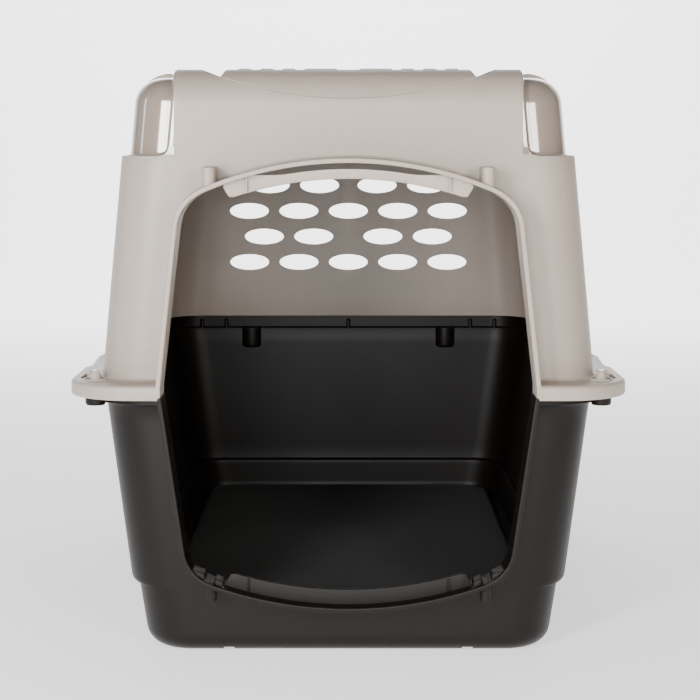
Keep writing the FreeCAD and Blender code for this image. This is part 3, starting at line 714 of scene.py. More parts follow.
def tie_slot_cutters(sizes, low, high):
    """Cutters for the four tie slots beside the flange's corners."""
    half = np.array([0.0025, 0.018])
    place = np.array([sizes.flange_half_width - 0.012, sizes.flange_half_length - 0.070])
    tools = []
    for side_x in (-1, 1):
        for side_y in (-1, 1):
            middle = [side_x, side_y] * place
            tools.append(welded("slot", soft_box((*(middle - half), low), (*(middle + half), high), 0.0012)))
    return tools


def hole_cutters(low, high):
    """Cutters for the bolts' holes."""
    return [welded("hole", revolved((x, y, 0), [(BOLT_HOLE, low), (BOLT_HOLE, high)], 20))
            for x, y in fastener_spots().values()]


def shell_walls(name, skins, body, slot, material, tools):
    """A shell's walls: its two skins joined, then every opening cut."""
    outer, inner = skins
    mesh = weld(make_mesh(name, *closed_skin(outer, inner, outer[2])))
    piece = new_piece(name, mesh, body, slot, material)
    cut(piece, tools)
    piece.data.shade_smooth()
    piece.data.set_sharp_from_angle(angle=math.radians(32))
    return piece


def build_upper_shell(shell, door, materials):
    """The upper shell's walls with their openings, then its lip, stop, ribs and rings."""
    path = doorway_path(door, shell, True)
    tools = [doorway_cutter(path, door, -0.29, True, shell.plate_top)] + vent_cutters(shell)
    tools += tie_slot_cutters(shell, shell.skirt_bottom, shell.plate_top + 0.004)
    tools += hole_cutters(0.245, 0.262)
    finish = ("upper_body", "upper_plastic", materials["taupe"])
    skins = (upper_skin(shell), upper_skin(shell, shell.wall))
    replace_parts(shell_walls("upper_shell_walls", skins, *finish, tools), "upper_shell")

    points, normals = path
    wall_front = -end_wall(shell, points[:, 1])
    front = FRONT + np.where(points[:, 1] < shell.plate_top, 0.0006, 0.0)
    lip = sweep(points, normals, lip_profile(wall_front, wall_front + shell.wall, door.lip, front))
    new_piece("upper_doorway_lip", welded("upper_lip", lip, *top_pin_bosses(shell, door)), *finish)
    new_piece("top_door_stop", welded("top_stop", door_stop(door, True), *stop_ribs(door, True)), *finish)
    new_piece("roof_ribs", welded("roof_ribs", *roof_ribs(shell)), *finish)
    new_piece("nut_rings", welded("nut_rings", *nut_rings(shell)), *finish)


def top_pin_bosses(shell, door):
    """Half-round posts on the lip, square-topped with softened corners, that hold the door's top pins."""
    parts = []
    radius, soften = 0.006, 0.0014
    y = FRONT + door.pin_setback
    low = doorway_arc(door, door.pin_spread, True)
    top = low + 0.0215
    wall_y = -end_wall(shell, top) + 0.001
    turn = np.linspace(-math.pi / 2, math.pi / 2, 15)
    levels = [(0.0, low + 0.0026), (0.0, top - soften)]
    levels += [(soften * (1 - math.cos(a)), top - soften + soften * math.sin(a))
               for a in np.linspace(0, math.pi / 2, 5)[1:]]
    for side in (-1, 1):
        rows = []
        for inset, z in levels:
            r = radius - inset
            x = np.concatenate([[-r], r * np.sin(turn), [r]])
            depth = np.concatenate([[wall_y], y - r * np.cos(turn) * 0.9, [wall_y]])
            rows.append(np.column_stack([side * door.pin_spread + x, depth, np.full(len(x), z)]))
        parts.append(capped(rows))
    return parts


def door_stop(door, up):
    """Curved bar that the door closes against, with rounded ends and a soft free edge.

    Its section is carried along the doorway's arc.  The free edge draws in
    along a quarter circle at both ends.  The top bar stands clear of the lip
    in its middle.
    """
    x = np.linspace(-door.stop_half, door.stop_half, 49)
    end = np.clip((door.stop_half - np.abs(x)) / 0.010, 0, 1)
    shape = np.sqrt(np.clip(1 - (1 - end) ** 2, 0, 1))
    if up:
        reach = -door.stop_drop * (0.25 + 0.75 * shape)
        root = 0.002 - 0.0078 * smooth((0.104 - np.abs(x)) / 0.05)
    else:
        reach = door.stop_rise * (0.2 + 0.8 * shape)
        root = np.full_like(x, -0.002)
    near = FRONT + door.stop_setback
    far = near + door.stop_thickness
    r = 0.0012 * (-1 if up else 1)
    turn = np.linspace(0, math.pi / 2, 4)
    profile = [(root, near)]
    profile += [(reach - r * (1 - math.sin(a)), near + abs(r) * (1 - math.cos(a))) for a in turn]
    profile += [(reach - r * (1 - math.sin(a)), far - abs(r) * (1 - math.cos(a))) for a in turn[::-1]]
    profile += [(root, far)]
    edge = doorway_arc(door, x, up)
    return capped(np.stack([np.column_stack([x, np.full_like(x, y), edge + off]) for off, y in profile], 1))


def stop_ribs(door, up):
    """Thin ribs that tie a door stop to the lip in front of it, near both its ends."""
    parts = []
    near = FRONT + door.stop_setback
    for x in (-0.093, 0.093):
        edge = float(doorway_arc(door, x, up))
        low, high = (edge - door.stop_drop * 0.86, edge + 0.002) if up else \
            (edge - 0.002, edge + door.stop_rise * 0.86)
        parts.append(soft_box((x - 0.0008, near - 0.0042, low), (x + 0.0008, near + 0.001, high), 0.0005))
    return parts


def sill_tabs(door):
    """Low raised pads on the sill, on both sides of each lower pin socket."""
    parts = []
    near = FRONT + door.pin_setback
    for side in (-1, 1):
        for inner, outer, rise in ((0.1155, 0.1235, 0.0052), (0.1325, 0.1445, 0.0062)):
            middle = side * (inner + outer) / 2
            edge = float(doorway_arc(door, middle, False))
            part = soft_box((middle - (outer - inner) / 2, near - 0.0055, edge - 0.004),
                            (middle + (outer - inner) / 2, near + 0.014, edge + rise), 0.0012)
            part[0][:, 2] += side * 0.36 * (part[0][:, 0] - middle)
            parts.append(part)
    return parts


def rim_nubs(lower):
    """Small round-topped pegs in the channel along the rear rim."""
    y = lower.half_length - 0.0005
    stations = [(0.0001, 0.2505), (0.0016, 0.2502), (0.0024, 0.2492), (0.0026, 0.2478), (0.0026, 0.2386)]
    return [revolved((x, y, 0), stations, 20) for x in (-0.1935, -0.1615, 0.0, 0.1615, 0.1935)]


def roof_ribs(shell):
    """Lengthwise ribs on the roof panel: a low rounded section, drawn down at both ends."""
    half_y = end_wall(shell, shell.roof_height) - shell.roof_rounding
    past = half_y + np.array([-0.002, 0.002, 0.006, 0.010])
    y = np.concatenate([-past[::-1], np.linspace(-half_y + 0.01, half_y - 0.01, 12), past])
    over = np.clip(np.abs(y) - half_y, 0, None)
    fall = shell.roof_rounding - np.sqrt(shell.roof_rounding ** 2 - over ** 2)
    lift = smooth((half_y + 0.010 - np.abs(y)) / 0.010)
    parts = []
    ribs = [(0.026, 0.031)] + [(place, 0.0125) for place in (0.056, 0.0768, 0.0976)]
    h, r = shell.rib_height, 0.0009
    for place, width in ribs:
        half = width / 2
        flank = np.array([(half - 1.2 * r, h), (half - 0.35 * r, 0.75 * h), (half, 0.25 * h),
                          (half + r, -0.0006)])
        section = np.concatenate([flank[::-1] * [-1, 1], flank])
        for side in (-1, 1):
            x = side * place + section[:, 0]
            rise = section[:, 1] * np.where(section[:, 1] > 0, lift[:, None], 1)
            z = shell.roof_height - fall[:, None] + rise
            z = np.minimum(z, shell.roof_height + h)
            rows = np.stack([np.broadcast_to(x, z.shape), np.broadcast_to(y[:, None], z.shape), z], -1)
            parts.append(capped(rows))
    return parts


def turned_ring(x, y, z, section, segments):
    """A section of (radius, height) pairs turned about an upright axis and closed on itself."""
    angle = np.linspace(0, 2 * math.pi, segments, endpoint=False)
    rows = [np.column_stack([x + r * np.cos(angle), y + r * np.sin(angle), np.full(segments, z + rise)])
            for r, rise in section]
    return np.concatenate(rows + rows[:1]), ring_faces(len(rows) + 1, segments)


def nut_rings(shell):
    """A low raised ring on the flange round each wing nut."""
    section = ((0.0092, -0.0006), (0.0092, 0.001), (0.0096, 0.0014), (0.0106, 0.0014), (0.0110, 0.001),
               (0.0112, -0.0006))
    return [turned_ring(x, y, shell.plate_top, section, 48) for x, y in fastener_spots().values()]


# ------------------------------------------------------------ lower shell

def lower_columns():
    """Columns of the lower shell, evenly spread."""
    ends = np.linspace(-1, 1, 17)
    sides = np.linspace(-1, 1, 21)
    columns = outline_columns(ends, sides)
    return columns, (len(ends) + 2 * ARC_STEPS, len(sides) + 2 * ARC_STEPS)


def lower_skin(lower, shell, inset=0.0):
    """Skin of the lower shell from the flange plate down to the floor, inset by a wall.

    Rows follow rounded rectangles: plate, rim, leaning wall, rounded step,
    narrower base, and a quarter circle under it.  The outside ends in the
    hollow under the floor, and the inside ends on the moulded floor.
    """
    columns, counts = lower_columns()
    count = len(columns[0])
    outside = inset == 0
    rows = []
    rear = columns[0][:, 1] > 0

    def add(half_x, half_y, radius, z):
        plan = outline(columns, half_x, half_y, np.full(count, radius))
        rows.append(np.column_stack([plan, np.broadcast_to(z, count)]))

    def wall_row(z, off=0.0, end_off=None):
        """A row of the leaning walls; off draws it in, and end_off does so for the ends."""
        drop = lower.rim_height - z
        end_off = off if end_off is None else end_off
        add(lower.half_width - LOWER_SIDE_LEAN * drop - inset - off,
            lower.half_length - lower.end_slope * drop - inset - end_off,
            shell.corner_radius - inset - off, z)

    drop = lower.rim_height - lower.base_height
    base_x = lower.half_width - LOWER_SIDE_LEAN * drop - lower.base_step
    base_y = lower.half_length - lower.end_slope * drop - np.where(rear, lower.base_step, 0.0)

    def base_row(z, off=0.0, end_off=None):
        """The same for the narrower base."""
        fall = lower.base_height - z
        end_off = off if end_off is None else end_off
        add(base_x - BASE_SIDE_LEAN * fall - inset - off, base_y - lower.end_slope * fall - inset - end_off,
            shell.corner_radius - inset - off, z)

    edge = np.array([shell.flange_half_width, shell.flange_half_length, shell.flange_radius])
    edge = edge - lower.plate_inset
    rim = np.array([lower.half_width, lower.half_length, shell.corner_radius]) + lower.rim_offset
    if outside:
        add(*edge, lower.plate_high)
        add(*edge, lower.plate_low)
        add(*(rim + 0.002), lower.plate_low)
        add(*rim, lower.plate_low - 0.002)
        add(*rim, lower.rim_height - 0.0022)
        add(*(rim - 0.001), lower.rim_height - 0.0032)
        wall_row(lower.rim_height - 0.0032, -0.0025)
        wall_row(lower.rim_height - 0.0042, -0.0008)
        wall_row(lower.rim_height - 0.006)
    else:
        add(*(edge - 0.001), lower.plate_high)
        add(*(rim - 0.0024), lower.plate_high)
        add(*(rim - 0.0032), lower.plate_high - 0.001)
        add(*(rim - 0.0032), lower.rim_height + 0.001)
        add(*(rim - 0.004), lower.rim_height)
        wall_row(lower.rim_height, -0.0012)
        wall_row(lower.rim_height - 0.0004, -0.0004)
        wall_row(lower.rim_height - 0.0014)
    step_z = lower.base_height + inset * 0.6
    for z in np.linspace(lower.rim_height - 0.02, step_z + 0.018, 8):
        wall_row(z)
    r = 0.0055 if outside else 0.0015
    for a in np.linspace(0, math.pi / 2, 6):
        off = r * (1 - math.cos(a))
        wall_row(step_z + r - r * math.sin(a), off, np.where(rear, off, 0.0))
    r = 0.0015 if outside else 0.0022
    for a in np.linspace(0, math.pi / 2, 5):
        lift = r * (1 - math.sin(a))
        base_row(step_z - r * (1 - math.cos(a)), -lift, np.where(rear, -lift, 0.0))
    low, r = (0.0, lower.base_rounding) if outside else (lower.floor_height, 0.014)
    for z in np.linspace(step_z - 0.006, low + r + 0.002, 4):
        base_row(z)
    for a in np.linspace(0, math.pi / 2, 9):
        base_row(low + r - r * math.sin(a), r * (1 - math.cos(a)))
    if outside:
        hollow_x = base_x - lower.foot_rim
        hollow_y = lower.half_length - lower.base_step - lower.foot_rim
        under = lower.floor_height - shell.wall
        add(hollow_x + 0.001, hollow_y + 0.001, 0.032, 0.0)
        add(hollow_x, hollow_y, 0.031, 0.001)
        add(hollow_x - 0.001, hollow_y - 0.001, 0.03, under - 0.003)
        add(hollow_x - 0.004, hollow_y - 0.004, 0.027, under)
    points, faces = skin_points(rows, columns, counts[0], counts[1])
    return points, faces, count


def build_lower_shell(lower, shell, door, materials):
    """The lower shell's walls with their openings, then its lip, stop, cups and bulges."""
    path = doorway_path(door, shell, False)
    tools = [doorway_cutter(path, door, -0.285, False)]
    tools += tie_slot_cutters(shell, lower.plate_low - 0.002, lower.plate_high + 0.002)
    notch = np.array([0.0055, 0.04, 0.004])
    for side in (-1, 1):
        for end in (-1, 1):
            middle = np.array([side * 0.113, end * 0.31, 0.0])
            tools.append(welded("notch", soft_box(middle - notch, middle + notch, 0.0014)))
    tools += hole_cutters(0.248, 0.258)
    finish = ("lower_body", "lower_plastic", materials["bark"])
    skins = (lower_skin(lower, shell), lower_skin(lower, shell, shell.wall))
    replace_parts(shell_walls("lower_shell_walls", skins, *finish, tools), "lower_shell")

    points, normals = path
    wall_front = lower.end_slope * (lower.rim_height - points[:, 1]) - lower.half_length
    lip = sweep(points, normals, lip_profile(wall_front, wall_front + shell.wall, door.lip, FRONT))
    new_piece("lower_doorway_lip", welded("lower_lip", lip, *sill_pin_bosses(door)), *finish)
    details = [door_stop(door, False)] + stop_ribs(door, False) + sill_tabs(door) + rim_nubs(lower)
    new_piece("sill_door_stop", welded("sill_details", *details), *finish)
    cups = [bolt_cup(x, y, lower) for x, y in fastener_spots().values()]
    new_piece("bolt_cups", welded("bolt_cups", *cups), *finish)
    new_piece("rear_bulges", welded("rear_bulges", *rear_bulges(lower)), *finish)


def sill_pin_bosses(door):
    """Round bosses under the sill's lip that hold the door's lower pins."""
    parts = []
    y = FRONT + door.pin_setback
    high = float(doorway_arc(door, door.pin_spread, False))
    low = high - 0.0184
    for side in (-1, 1):
        stations = [(0.0034, low), (0.0044, low + 0.0003), (0.0052, low + 0.0012), (0.0052, high - 0.002)]
        parts.append(revolved((side * door.pin_spread, y, 0), stations, 28))
    return parts


def bolt_cup(x, y, lower):
    """Open cup under the flange plate: a turned wall with a rounded mouth round the bolt's head."""
    top = lower.plate_low
    outer = [(0.0095, top + 0.001), (0.0095, top - 0.0145), (0.0091, top - 0.0162), (0.0084, top - 0.017),
             (0.0079, top - 0.0168), (0.0077, top - 0.016), (0.0077, top - 0.001), (0.0001, top - 0.001)]
    return revolved((x, y, 0), outer, 32)


def rear_bulges(lower):
    """Half-round bulges on the inside of the rear wall, closed below by a quarter sphere's edge."""
    parts = []
    turn = np.linspace(0, math.pi, 21)
    high, height, radius = lower.rim_height, 0.026, 0.0125
    for side in (-1, 1):
        rows = []
        stations = [(high, 0.0), (high - height + 0.004, 0.0)]
        stations += [(high - height + 0.004 * (1 - math.sin(a)), 0.004 * (1 - math.cos(a)))
                     for a in np.linspace(0, math.pi / 2, 5)[1:]]
        for z, off in stations:
            wall_y = lower.half_length - lower.end_slope * (lower.rim_height - z) - 0.0026
            x = side * 0.128 + (radius - off) * np.cos(turn)
            y = wall_y - (radius - off) * np.sin(turn) * 0.85
            rows.append(np.column_stack([x, y, np.full(len(turn), z)]))
        parts.append(capped(rows))
    return parts


# --------------------------------------------------------------- floor mat

def mat_surface(rows=64, columns=48):
    """Closed pad: a rounded rectangle whose thickness falls off near its edge.

    The top and bottom are the same grid, drawn together along the rim by a
    half-circle, so that the pad closes in a soft seam.
    """
    half = (MAT_HIGH - MAT_LOW) / 2 - [MAT_SWELL, MAT_SWELL, MAT_SWELL / 2]
    middle = (MAT_HIGH + MAT_LOW) / 2
    plan = outline_columns(np.linspace(-1, 1, columns), np.linspace(-1, 1, rows))
    edge = half[2]
    count = len(plan[0])
    loops = []
    for angle in np.linspace(-math.pi / 2, math.pi / 2, 9):
        off = edge * (1 - math.cos(angle)) * 0.5 + 0.0005
        loop = outline(plan, half[0] - off, half[1] - off, np.full(count, 0.033)) + middle[:2]
        loops.append(np.column_stack([loop, np.full(count, middle[2] + edge * math.sin(angle))]))
    counts = (columns + 2 * ARC_STEPS, rows + 2 * ARC_STEPS)
    loops = np.array(loops)
    top = cap_patch(loops[-1], plan, *counts)
    bottom = cap_patch(loops[0], plan, *counts)
    points = np.concatenate([part.reshape(-1, 3) for part in (loops, top, bottom)])
    start = loops.size // 3
    faces = np.concatenate([ring_faces(len(loops), count), ring_faces(*top.shape[:2], start, closed=False),
                            ring_faces(*bottom.shape[:2], start + top.size // 3, closed=False, flip=True)])
    return points, faces


def relax_as_cloth(mesh, voxel, cap):
    """Lets a rough copy of the pad swell as pressurised cloth.

    The copy is remeshed in even cells, blown up a little with gravity off, and
    each point's shift is shortened to the cap. One subdivision smooths it.
    """
    scene = bpy.context.scene
    rough = bpy.data.objects.new("mat_rough", mesh.copy())
    scene.collection.objects.link(rough)
    remesh = rough.modifiers.new("even_cells", "REMESH")
    remesh.mode = "VOXEL"
    remesh.voxel_size = voxel
    apply_modifiers(rough)
    start = vertex_places(rough.data)
    cloth = rough.modifiers.new("settle", "CLOTH")
    cloth.settings.quality = 5
    cloth.settings.mass = 0.3
    cloth.settings.use_pressure = True
    cloth.settings.uniform_pressure_force = 4.0
    cloth.settings.effector_weights.gravity = 0.0
    cloth.settings.tension_stiffness = 15
    cloth.settings.bending_stiffness = 0.5
    cloth.point_cache.frame_start = 1
    cloth.point_cache.frame_end = 20
    for number in range(cloth.point_cache.frame_start, cloth.point_cache.frame_end + 1):
        scene.frame_set(number)
    graph = bpy.context.evaluated_depsgraph_get()
    moved = vertex_places(rough.evaluated_get(graph).data)
    rough.modifiers.clear()
    scene.frame_set(1)
    shift = moved - start
    reach = np.linalg.norm(shift, axis=1, keepdims=True)
    shift *= np.minimum(1.0, cap / np.maximum(reach, 1e-9))
    rough.data.vertices.foreach_set("co", (start + shift).ravel())
    rough.data.update()
    fine = rough.modifiers.new("fine", "SUBSURF")
    fine.levels = fine.render_levels = 1
    apply_modifiers(rough)
    settled = rough.data
    bpy.data.objects.remove(rough)
    return settled


def vertex_places(mesh):
    """All vertex positions of a mesh, one row each."""
    places = np.empty(len(mesh.vertices) * 3)
    mesh.vertices.foreach_get("co", places)
    return places.reshape(-1, 3)


def build_floor_mat(materials):
    """Pad that rests flat on the floor and waves a little on its upper face."""
    mesh = weld(make_mesh("floor_mat_pad", *mat_surface()))
    mesh = relax_as_cloth(mesh, MAT_VOXEL, MAT_SWELL)
    piece = new_piece("mat_pad", mesh, "mat_body", "mat_fabric", materials["felt"], sharp=math.radians(80))
    place = vertex_places(mesh)
    x, y = place[:, 0], place[:, 1]
    upper = smooth((place[:, 2] - (MAT_LOW[2] + MAT_HIGH[2]) / 2) / 0.004)
    inside = smooth((0.19 - np.abs(x)) / 0.06) * smooth((0.28 - np.abs(y)) / 0.06)
    wave = (0.0011 * np.sin(x * 19 + y * 7 + 0.6) + 0.0009 * np.sin(y * 23 - x * 11 + 2.1)
            + 0.0006 * np.sin(x * 41 - y * 17))
    place[:, 2] += upper * inside * (wave - 0.0012)
    place = np.clip(place, MAT_LOW, MAT_HIGH + [0, 0, 0.002])
    mesh.vertices.foreach_set("co", place.ravel())
    mesh.update()
    mesh.shade_smooth()
    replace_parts(piece, "floor_mat")


# --------------------------------------------------------------- fasteners

def build_fasteners(materials):
    """Wing nuts as a turned hub with two swept wings; the bolts keep their nodes and get zinc."""
    for name, (x, y) in fastener_spots().items():
        bolt = frame["nodes"]["bolt_" + name]
        bolt.data.materials.clear()
        bolt.data.materials.append(materials["zinc"])
        nut = "wing_nut_" + name
        low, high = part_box(nut)
        wide_x = (high.x - low.x) > (high.y - low.y)
        if abs((high.x - low.x) - (high.y - low.y)) < 0.002:
            turn = math.atan2(y, x) + math.pi / 2
        else:
            turn = 0.0 if wide_x else math.pi / 2
        spin = np.array([[math.cos(turn), math.sin(turn)], [-math.sin(turn), math.cos(turn)]])
        parts = wing_nut_parts(low.z, high.z)
        for points, _ in parts:
            points[:, :2] = points[:, :2] @ spin + [x, y]
        mesh = welded(nut + "_form", *parts)
        piece = new_piece(nut + "_form", mesh, nut + "_body", "nut_plastic", materials["taupe"])
        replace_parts(piece, nut)


def wing_nut_parts(low, high):
    """Hub and wings of one nut: wings are a rounded plate whose outline sweeps up and outwards."""
    stations = [(0.0034, low), (0.0050, low), (0.0056, low + 0.0006), (0.0052, low + 0.0066),
                (0.0046, low + 0.0078), (0.0034, low + 0.008)]
    parts = [turned_ring(0.0, 0.0, 0.0, stations, 28)]
    turn = np.linspace(0, 2 * math.pi, 24, endpoint=False)
    for side in (-1, 1):
        centre = np.array([side * 0.0060, 0.0, low + 0.0068])
        outline_x = centre[0] + 0.0020 * np.sign(np.cos(turn)) * np.abs(np.cos(turn)) ** 0.6
        outline_z = centre[2] + (high - low - 0.0068) * np.sign(np.sin(turn)) * np.abs(np.sin(turn)) ** 0.6
        rows = []
        for depth, scale in ((-0.0015, 0.72), (-0.0012, 0.93), (-0.0006, 1.0), (0.0006, 1.0),
                             (0.0012, 0.93), (0.0015, 0.72)):
            rows.append(np.column_stack([centre[0] + (outline_x - centre[0]) * scale,
                                         np.full(len(turn), depth),
                                         centre[2] + (outline_z - centre[2]) * scale]))
        parts.append(capped(rows))
    return parts


# --------------------------------------------------------------- materials

def node(tree, kind, vector=None, **values):
    """A shader node with its inputs or settings filled in; vector is linked to its Vector input."""
    made = tree.nodes.new(kind)
    for key, value in values.items():
        if key in made.inputs:
            made.inputs[key].default_value = value
        else:
            setattr(made, key, value)
    if vector is not None:
        tree.links.new(vector, made.inputs["Vector"])
    return made


def sum_of(tree, operation, first, second=None, factor=None):
    """A Math node: first and second are sockets, and factor is a number in the second place."""
    made = node(tree, "ShaderNodeMath", operation=operation)
    tree.links.new(first, made.inputs[0])
    if factor is not None:
        made.inputs[1].default_value = factor
    if second is not None:
        tree.links.new(second, made.inputs[1 if factor is None else 2])
    return made.outputs[0]


def ranged(tree, value, low, high, start=0.0, end=1.0):
    """A Map Range node that takes a value from start..end to low..high."""
    made = node(tree, "ShaderNodeMapRange")
    for key, number in (("From Min", start), ("From Max", end), ("To Min", low), ("To Max", high)):
        made.inputs[key].default_value = number
    tree.links.new(value, made.inputs["Value"])
    return made.outputs["Result"]


def mixed_colour(tree, share, under, over, **settings):
    """A Mix node that lays a fixed colour over a colour socket by a share."""
    made = node(tree, "ShaderNodeMix", data_type="RGBA", **settings)
    tree.links.new(share, made.inputs["Factor"])
    tree.links.new(under, made.inputs["A"])
    made.inputs["B"].default_value = over
    return made.outputs["Result"]


def toned(tone, factor, lift=0.0):
    """A colour made lighter or darker."""
    return [min(channel * factor + lift, 1.0) for channel in tone[:3]] + [1.0]


def two_tone(tree, share, dark, light, start=0.0, end=1.0):
    """A colour ramp between two tones."""
    made = node(tree, "ShaderNodeValToRGB")
    for stop, position, tone in zip(made.color_ramp.elements, (start, end), (dark, light)):
        stop.position, stop.color = position, tone
    tree.links.new(share, made.inputs["Fac"])
    return made.outputs["Color"]


def start_material(name, **values):
    """A new material with its tree, its shader, and the socket of the piece's own coordinates."""
    material = bpy.data.materials.new(name)
    material.use_nodes = True
    tree = material.node_tree
    tree.nodes.clear()
    shader = node(tree, "ShaderNodeBsdfPrincipled", **values)
    output = node(tree, "ShaderNodeOutputMaterial")
    tree.links.new(shader.outputs["BSDF"], output.inputs["Surface"])
    return material, tree, shader, node(tree, "ShaderNodeTexCoord").outputs["Object"]


def add_bump(tree, shader, height, strength, distance):
    """Bump from a height socket, linked to the shader's normal."""
    bump = node(tree, "ShaderNodeBump", Strength=strength, Distance=distance)
    tree.links.new(height, bump.inputs["Height"])
    tree.links.new(bump.outputs["Normal"], shader.inputs["Normal"])
    return bump


def plastic(name, tone, roughness, grain, polish=None, edge_highlight=0.0, specular=0.5):
    """Moulded plastic: fine grain bump, faint uneven tone and gloss, and a painted highlight that lightens
    the sharp edges.

    polish is a function that adds the smoother, glossier zones and returns the socket with their share. Those
    zones also get painted shade: their colour is multiplied darker.
    """
    material, tree, shader, place = start_material(name)
    link = tree.links.new
    shader.inputs["Specular IOR Level"].default_value = specular
    fine = node(tree, "ShaderNodeTexNoise", place, Scale=900.0, Detail=3.0, Roughness=0.6)
    cloud = node(tree, "ShaderNodeTexNoise", place, Scale=9.0, Detail=4.0, Roughness=0.55)
    speck = node(tree, "ShaderNodeTexNoise", place, Scale=260.0, Detail=2.0, Roughness=0.5)
    stretch = node(tree, "ShaderNodeMapping", place, Scale=(1.0, 1.0, 0.09))
    flow = node(tree, "ShaderNodeTexNoise", stretch.outputs["Vector"], Scale=34.0, Detail=3.0, Roughness=0.5)
    bump = add_bump(tree, shader, fine.outputs["Fac"], grain, 0.0002)
    uneven = sum_of(tree, "ADD", cloud.outputs["Fac"], flow.outputs["Fac"])
    uneven = sum_of(tree, "MULTIPLY", uneven, factor=0.325)
    uneven = sum_of(tree, "MULTIPLY_ADD", speck.outputs["Fac"], uneven, factor=0.35)
    colour_out = two_tone(tree, uneven, toned(tone, 0.955), toned(tone, 1.035), 0.35, 0.65)
    # painted highlight: sharp convex edges are lightened, standing in for light catching them
    if edge_highlight:
        edges = node(tree, "ShaderNodeNewGeometry").outputs["Pointiness"]
        painted_edge_highlight = ranged(tree, edges, 0.0, edge_highlight, 0.53, 0.62)
        colour_out = mixed_colour(tree, painted_edge_highlight, colour_out, toned(tone, 1.5, 0.01))
    rough_out = ranged(tree, cloud.outputs["Fac"], roughness - 0.04, roughness + 0.05)
    if polish:
        share = polish(tree, place)
        smoothed = node(tree, "ShaderNodeMix", data_type="FLOAT")
        smoothed.inputs["B"].default_value = 0.16
        link(share, smoothed.inputs["Factor"])
        link(rough_out, smoothed.inputs["A"])
        rough_out = smoothed.outputs["Result"]
        link(ranged(tree, share, grain, grain * 0.08), bump.inputs["Strength"])
        link(share, shader.inputs["Coat Weight"])
        shader.inputs["Coat Roughness"].default_value = 0.09
        shader.inputs["Coat IOR"].default_value = 1.8
        # painted shade: the polished zones' colour is multiplied darker, standing in for the dark reflections
        # on the glossy corners
        colour_out = mixed_colour(tree, share, colour_out, (0.7, 0.68, 0.66, 1.0), blend_type="MULTIPLY")
    link(colour_out, shader.inputs["Base Color"])
    link(rough_out, shader.inputs["Roughness"])
    return material


def corner_polish(shell):
    """Share of the polished finish: 1 in the four top corners above the columns."""
    limits = {"X": shell.front_edge + 1.5 * MM, "Y": shell.side_edge + 1.5 * MM,
              "Z": shell.column_height + MM}

    def zones(tree, place):
        parts = node(tree, "ShaderNodeSeparateXYZ", place)
        past = [sum_of(tree, "GREATER_THAN", sum_of(tree, "ABSOLUTE", parts.outputs[axis]), factor=limit)
                for axis, limit in limits.items()]
        return sum_of(tree, "MULTIPLY", sum_of(tree, "MULTIPLY", past[0], past[1]), past[2])
    return zones


def felt(tone):
    """Dense felted fabric: crossed fine ribs, loose fibres, lint and a soft sheen."""
    material, tree, shader, place = start_material("mat_felt", Roughness=0.95)
    shader.inputs["Sheen Weight"].default_value = 0.04
    shader.inputs["Sheen Roughness"].default_value = 0.5
    shader.inputs["Specular IOR Level"].default_value = 0.08
    fibres = node(tree, "ShaderNodeTexNoise", place, Scale=1100.0, Detail=4.0, Roughness=0.7).outputs["Fac"]
    patches = node(tree, "ShaderNodeTexNoise", place, Scale=14.0, Detail=4.0, Roughness=0.6).outputs["Fac"]
    ribs = [node(tree, "ShaderNodeTexWave", place, Scale=210.0, Distortion=1.2, bands_direction=axis)
            for axis in ("X", "Y")]
    lint = node(tree, "ShaderNodeTexVoronoi", place, Scale=120.0).outputs["Distance"]
    weave = sum_of(tree, "MULTIPLY", ribs[0].outputs["Fac"], ribs[1].outputs["Fac"])
    add_bump(tree, shader, sum_of(tree, "ADD", weave, fibres), 0.5, 0.0004)
    blend = sum_of(tree, "MULTIPLY_ADD", fibres, sum_of(tree, "MULTIPLY", patches, factor=0.5), factor=0.5)
    cloth = two_tone(tree, blend, toned(tone, 0.75), toned(tone, 1.3), 0.3, 0.7)
    fleck = sum_of(tree, "LESS_THAN", lint, factor=0.045)
    tree.links.new(mixed_colour(tree, fleck, cloth, toned(tone, 3.0)), shader.inputs["Base Color"])
    return material


def zinc_plate(tone):
    """Zinc plating: bright metal with a crystalline mottle and fine turning marks."""
    material, tree, shader, place = start_material("zinc_plate", Metallic=1.0)
    crystal = node(tree, "ShaderNodeTexVoronoi", place, Scale=700.0).outputs["Distance"]
    marks = node(tree, "ShaderNodeTexNoise", place, Scale=1500.0, Detail=2.0).outputs["Fac"]
    tree.links.new(two_tone(tree, crystal, toned(tone, 0.8), toned(tone, 1.0)), shader.inputs["Base Color"])
    tree.links.new(ranged(tree, marks, 0.25, 0.45), shader.inputs["Roughness"])
    add_bump(tree, shader, marks, 0.2, 0.0001)
    return material


MATERIALS = {}


def materials(scene):
    """The finishes, made once from the colours in the panel."""
    if not MATERIALS:
        finishes, polish = scene.kennel_finishes, corner_polish(scene.kennel_shell)
        MATERIALS["taupe"] = plastic("taupe_plastic", finishes.taupe, 0.44, 0.22, polish=polish, edge_highlight=0.25)
        MATERIALS["bark"] = plastic("bark_plastic", finishes.bark, 0.4, 0.25, edge_highlight=0.15, specular=0.22)
        MATERIALS["felt"] = felt(finishes.felt)
        MATERIALS["zinc"] = zinc_plate(finishes.zinc)
    return MATERIALS


# ------------------------------------------------------------------- stage

def area_light(name, place, target, size, power, tint=(1.0, 1.0, 1.0)):
    """A soft rectangular lamp that looks at a target."""
    light = bpy.data.lights.new(name, "AREA")
    light.shape = "RECTANGLE"
    light.size, light.size_y = size
    light.energy = power
    light.color = tint
    lamp = bpy.data.objects.new(name, light)
    lamp.location = place
    lamp.rotation_euler = (Vector(target) - Vector(place)).to_track_quat("-Z", "Y").to_euler()
    bpy.context.scene.collection.objects.link(lamp)


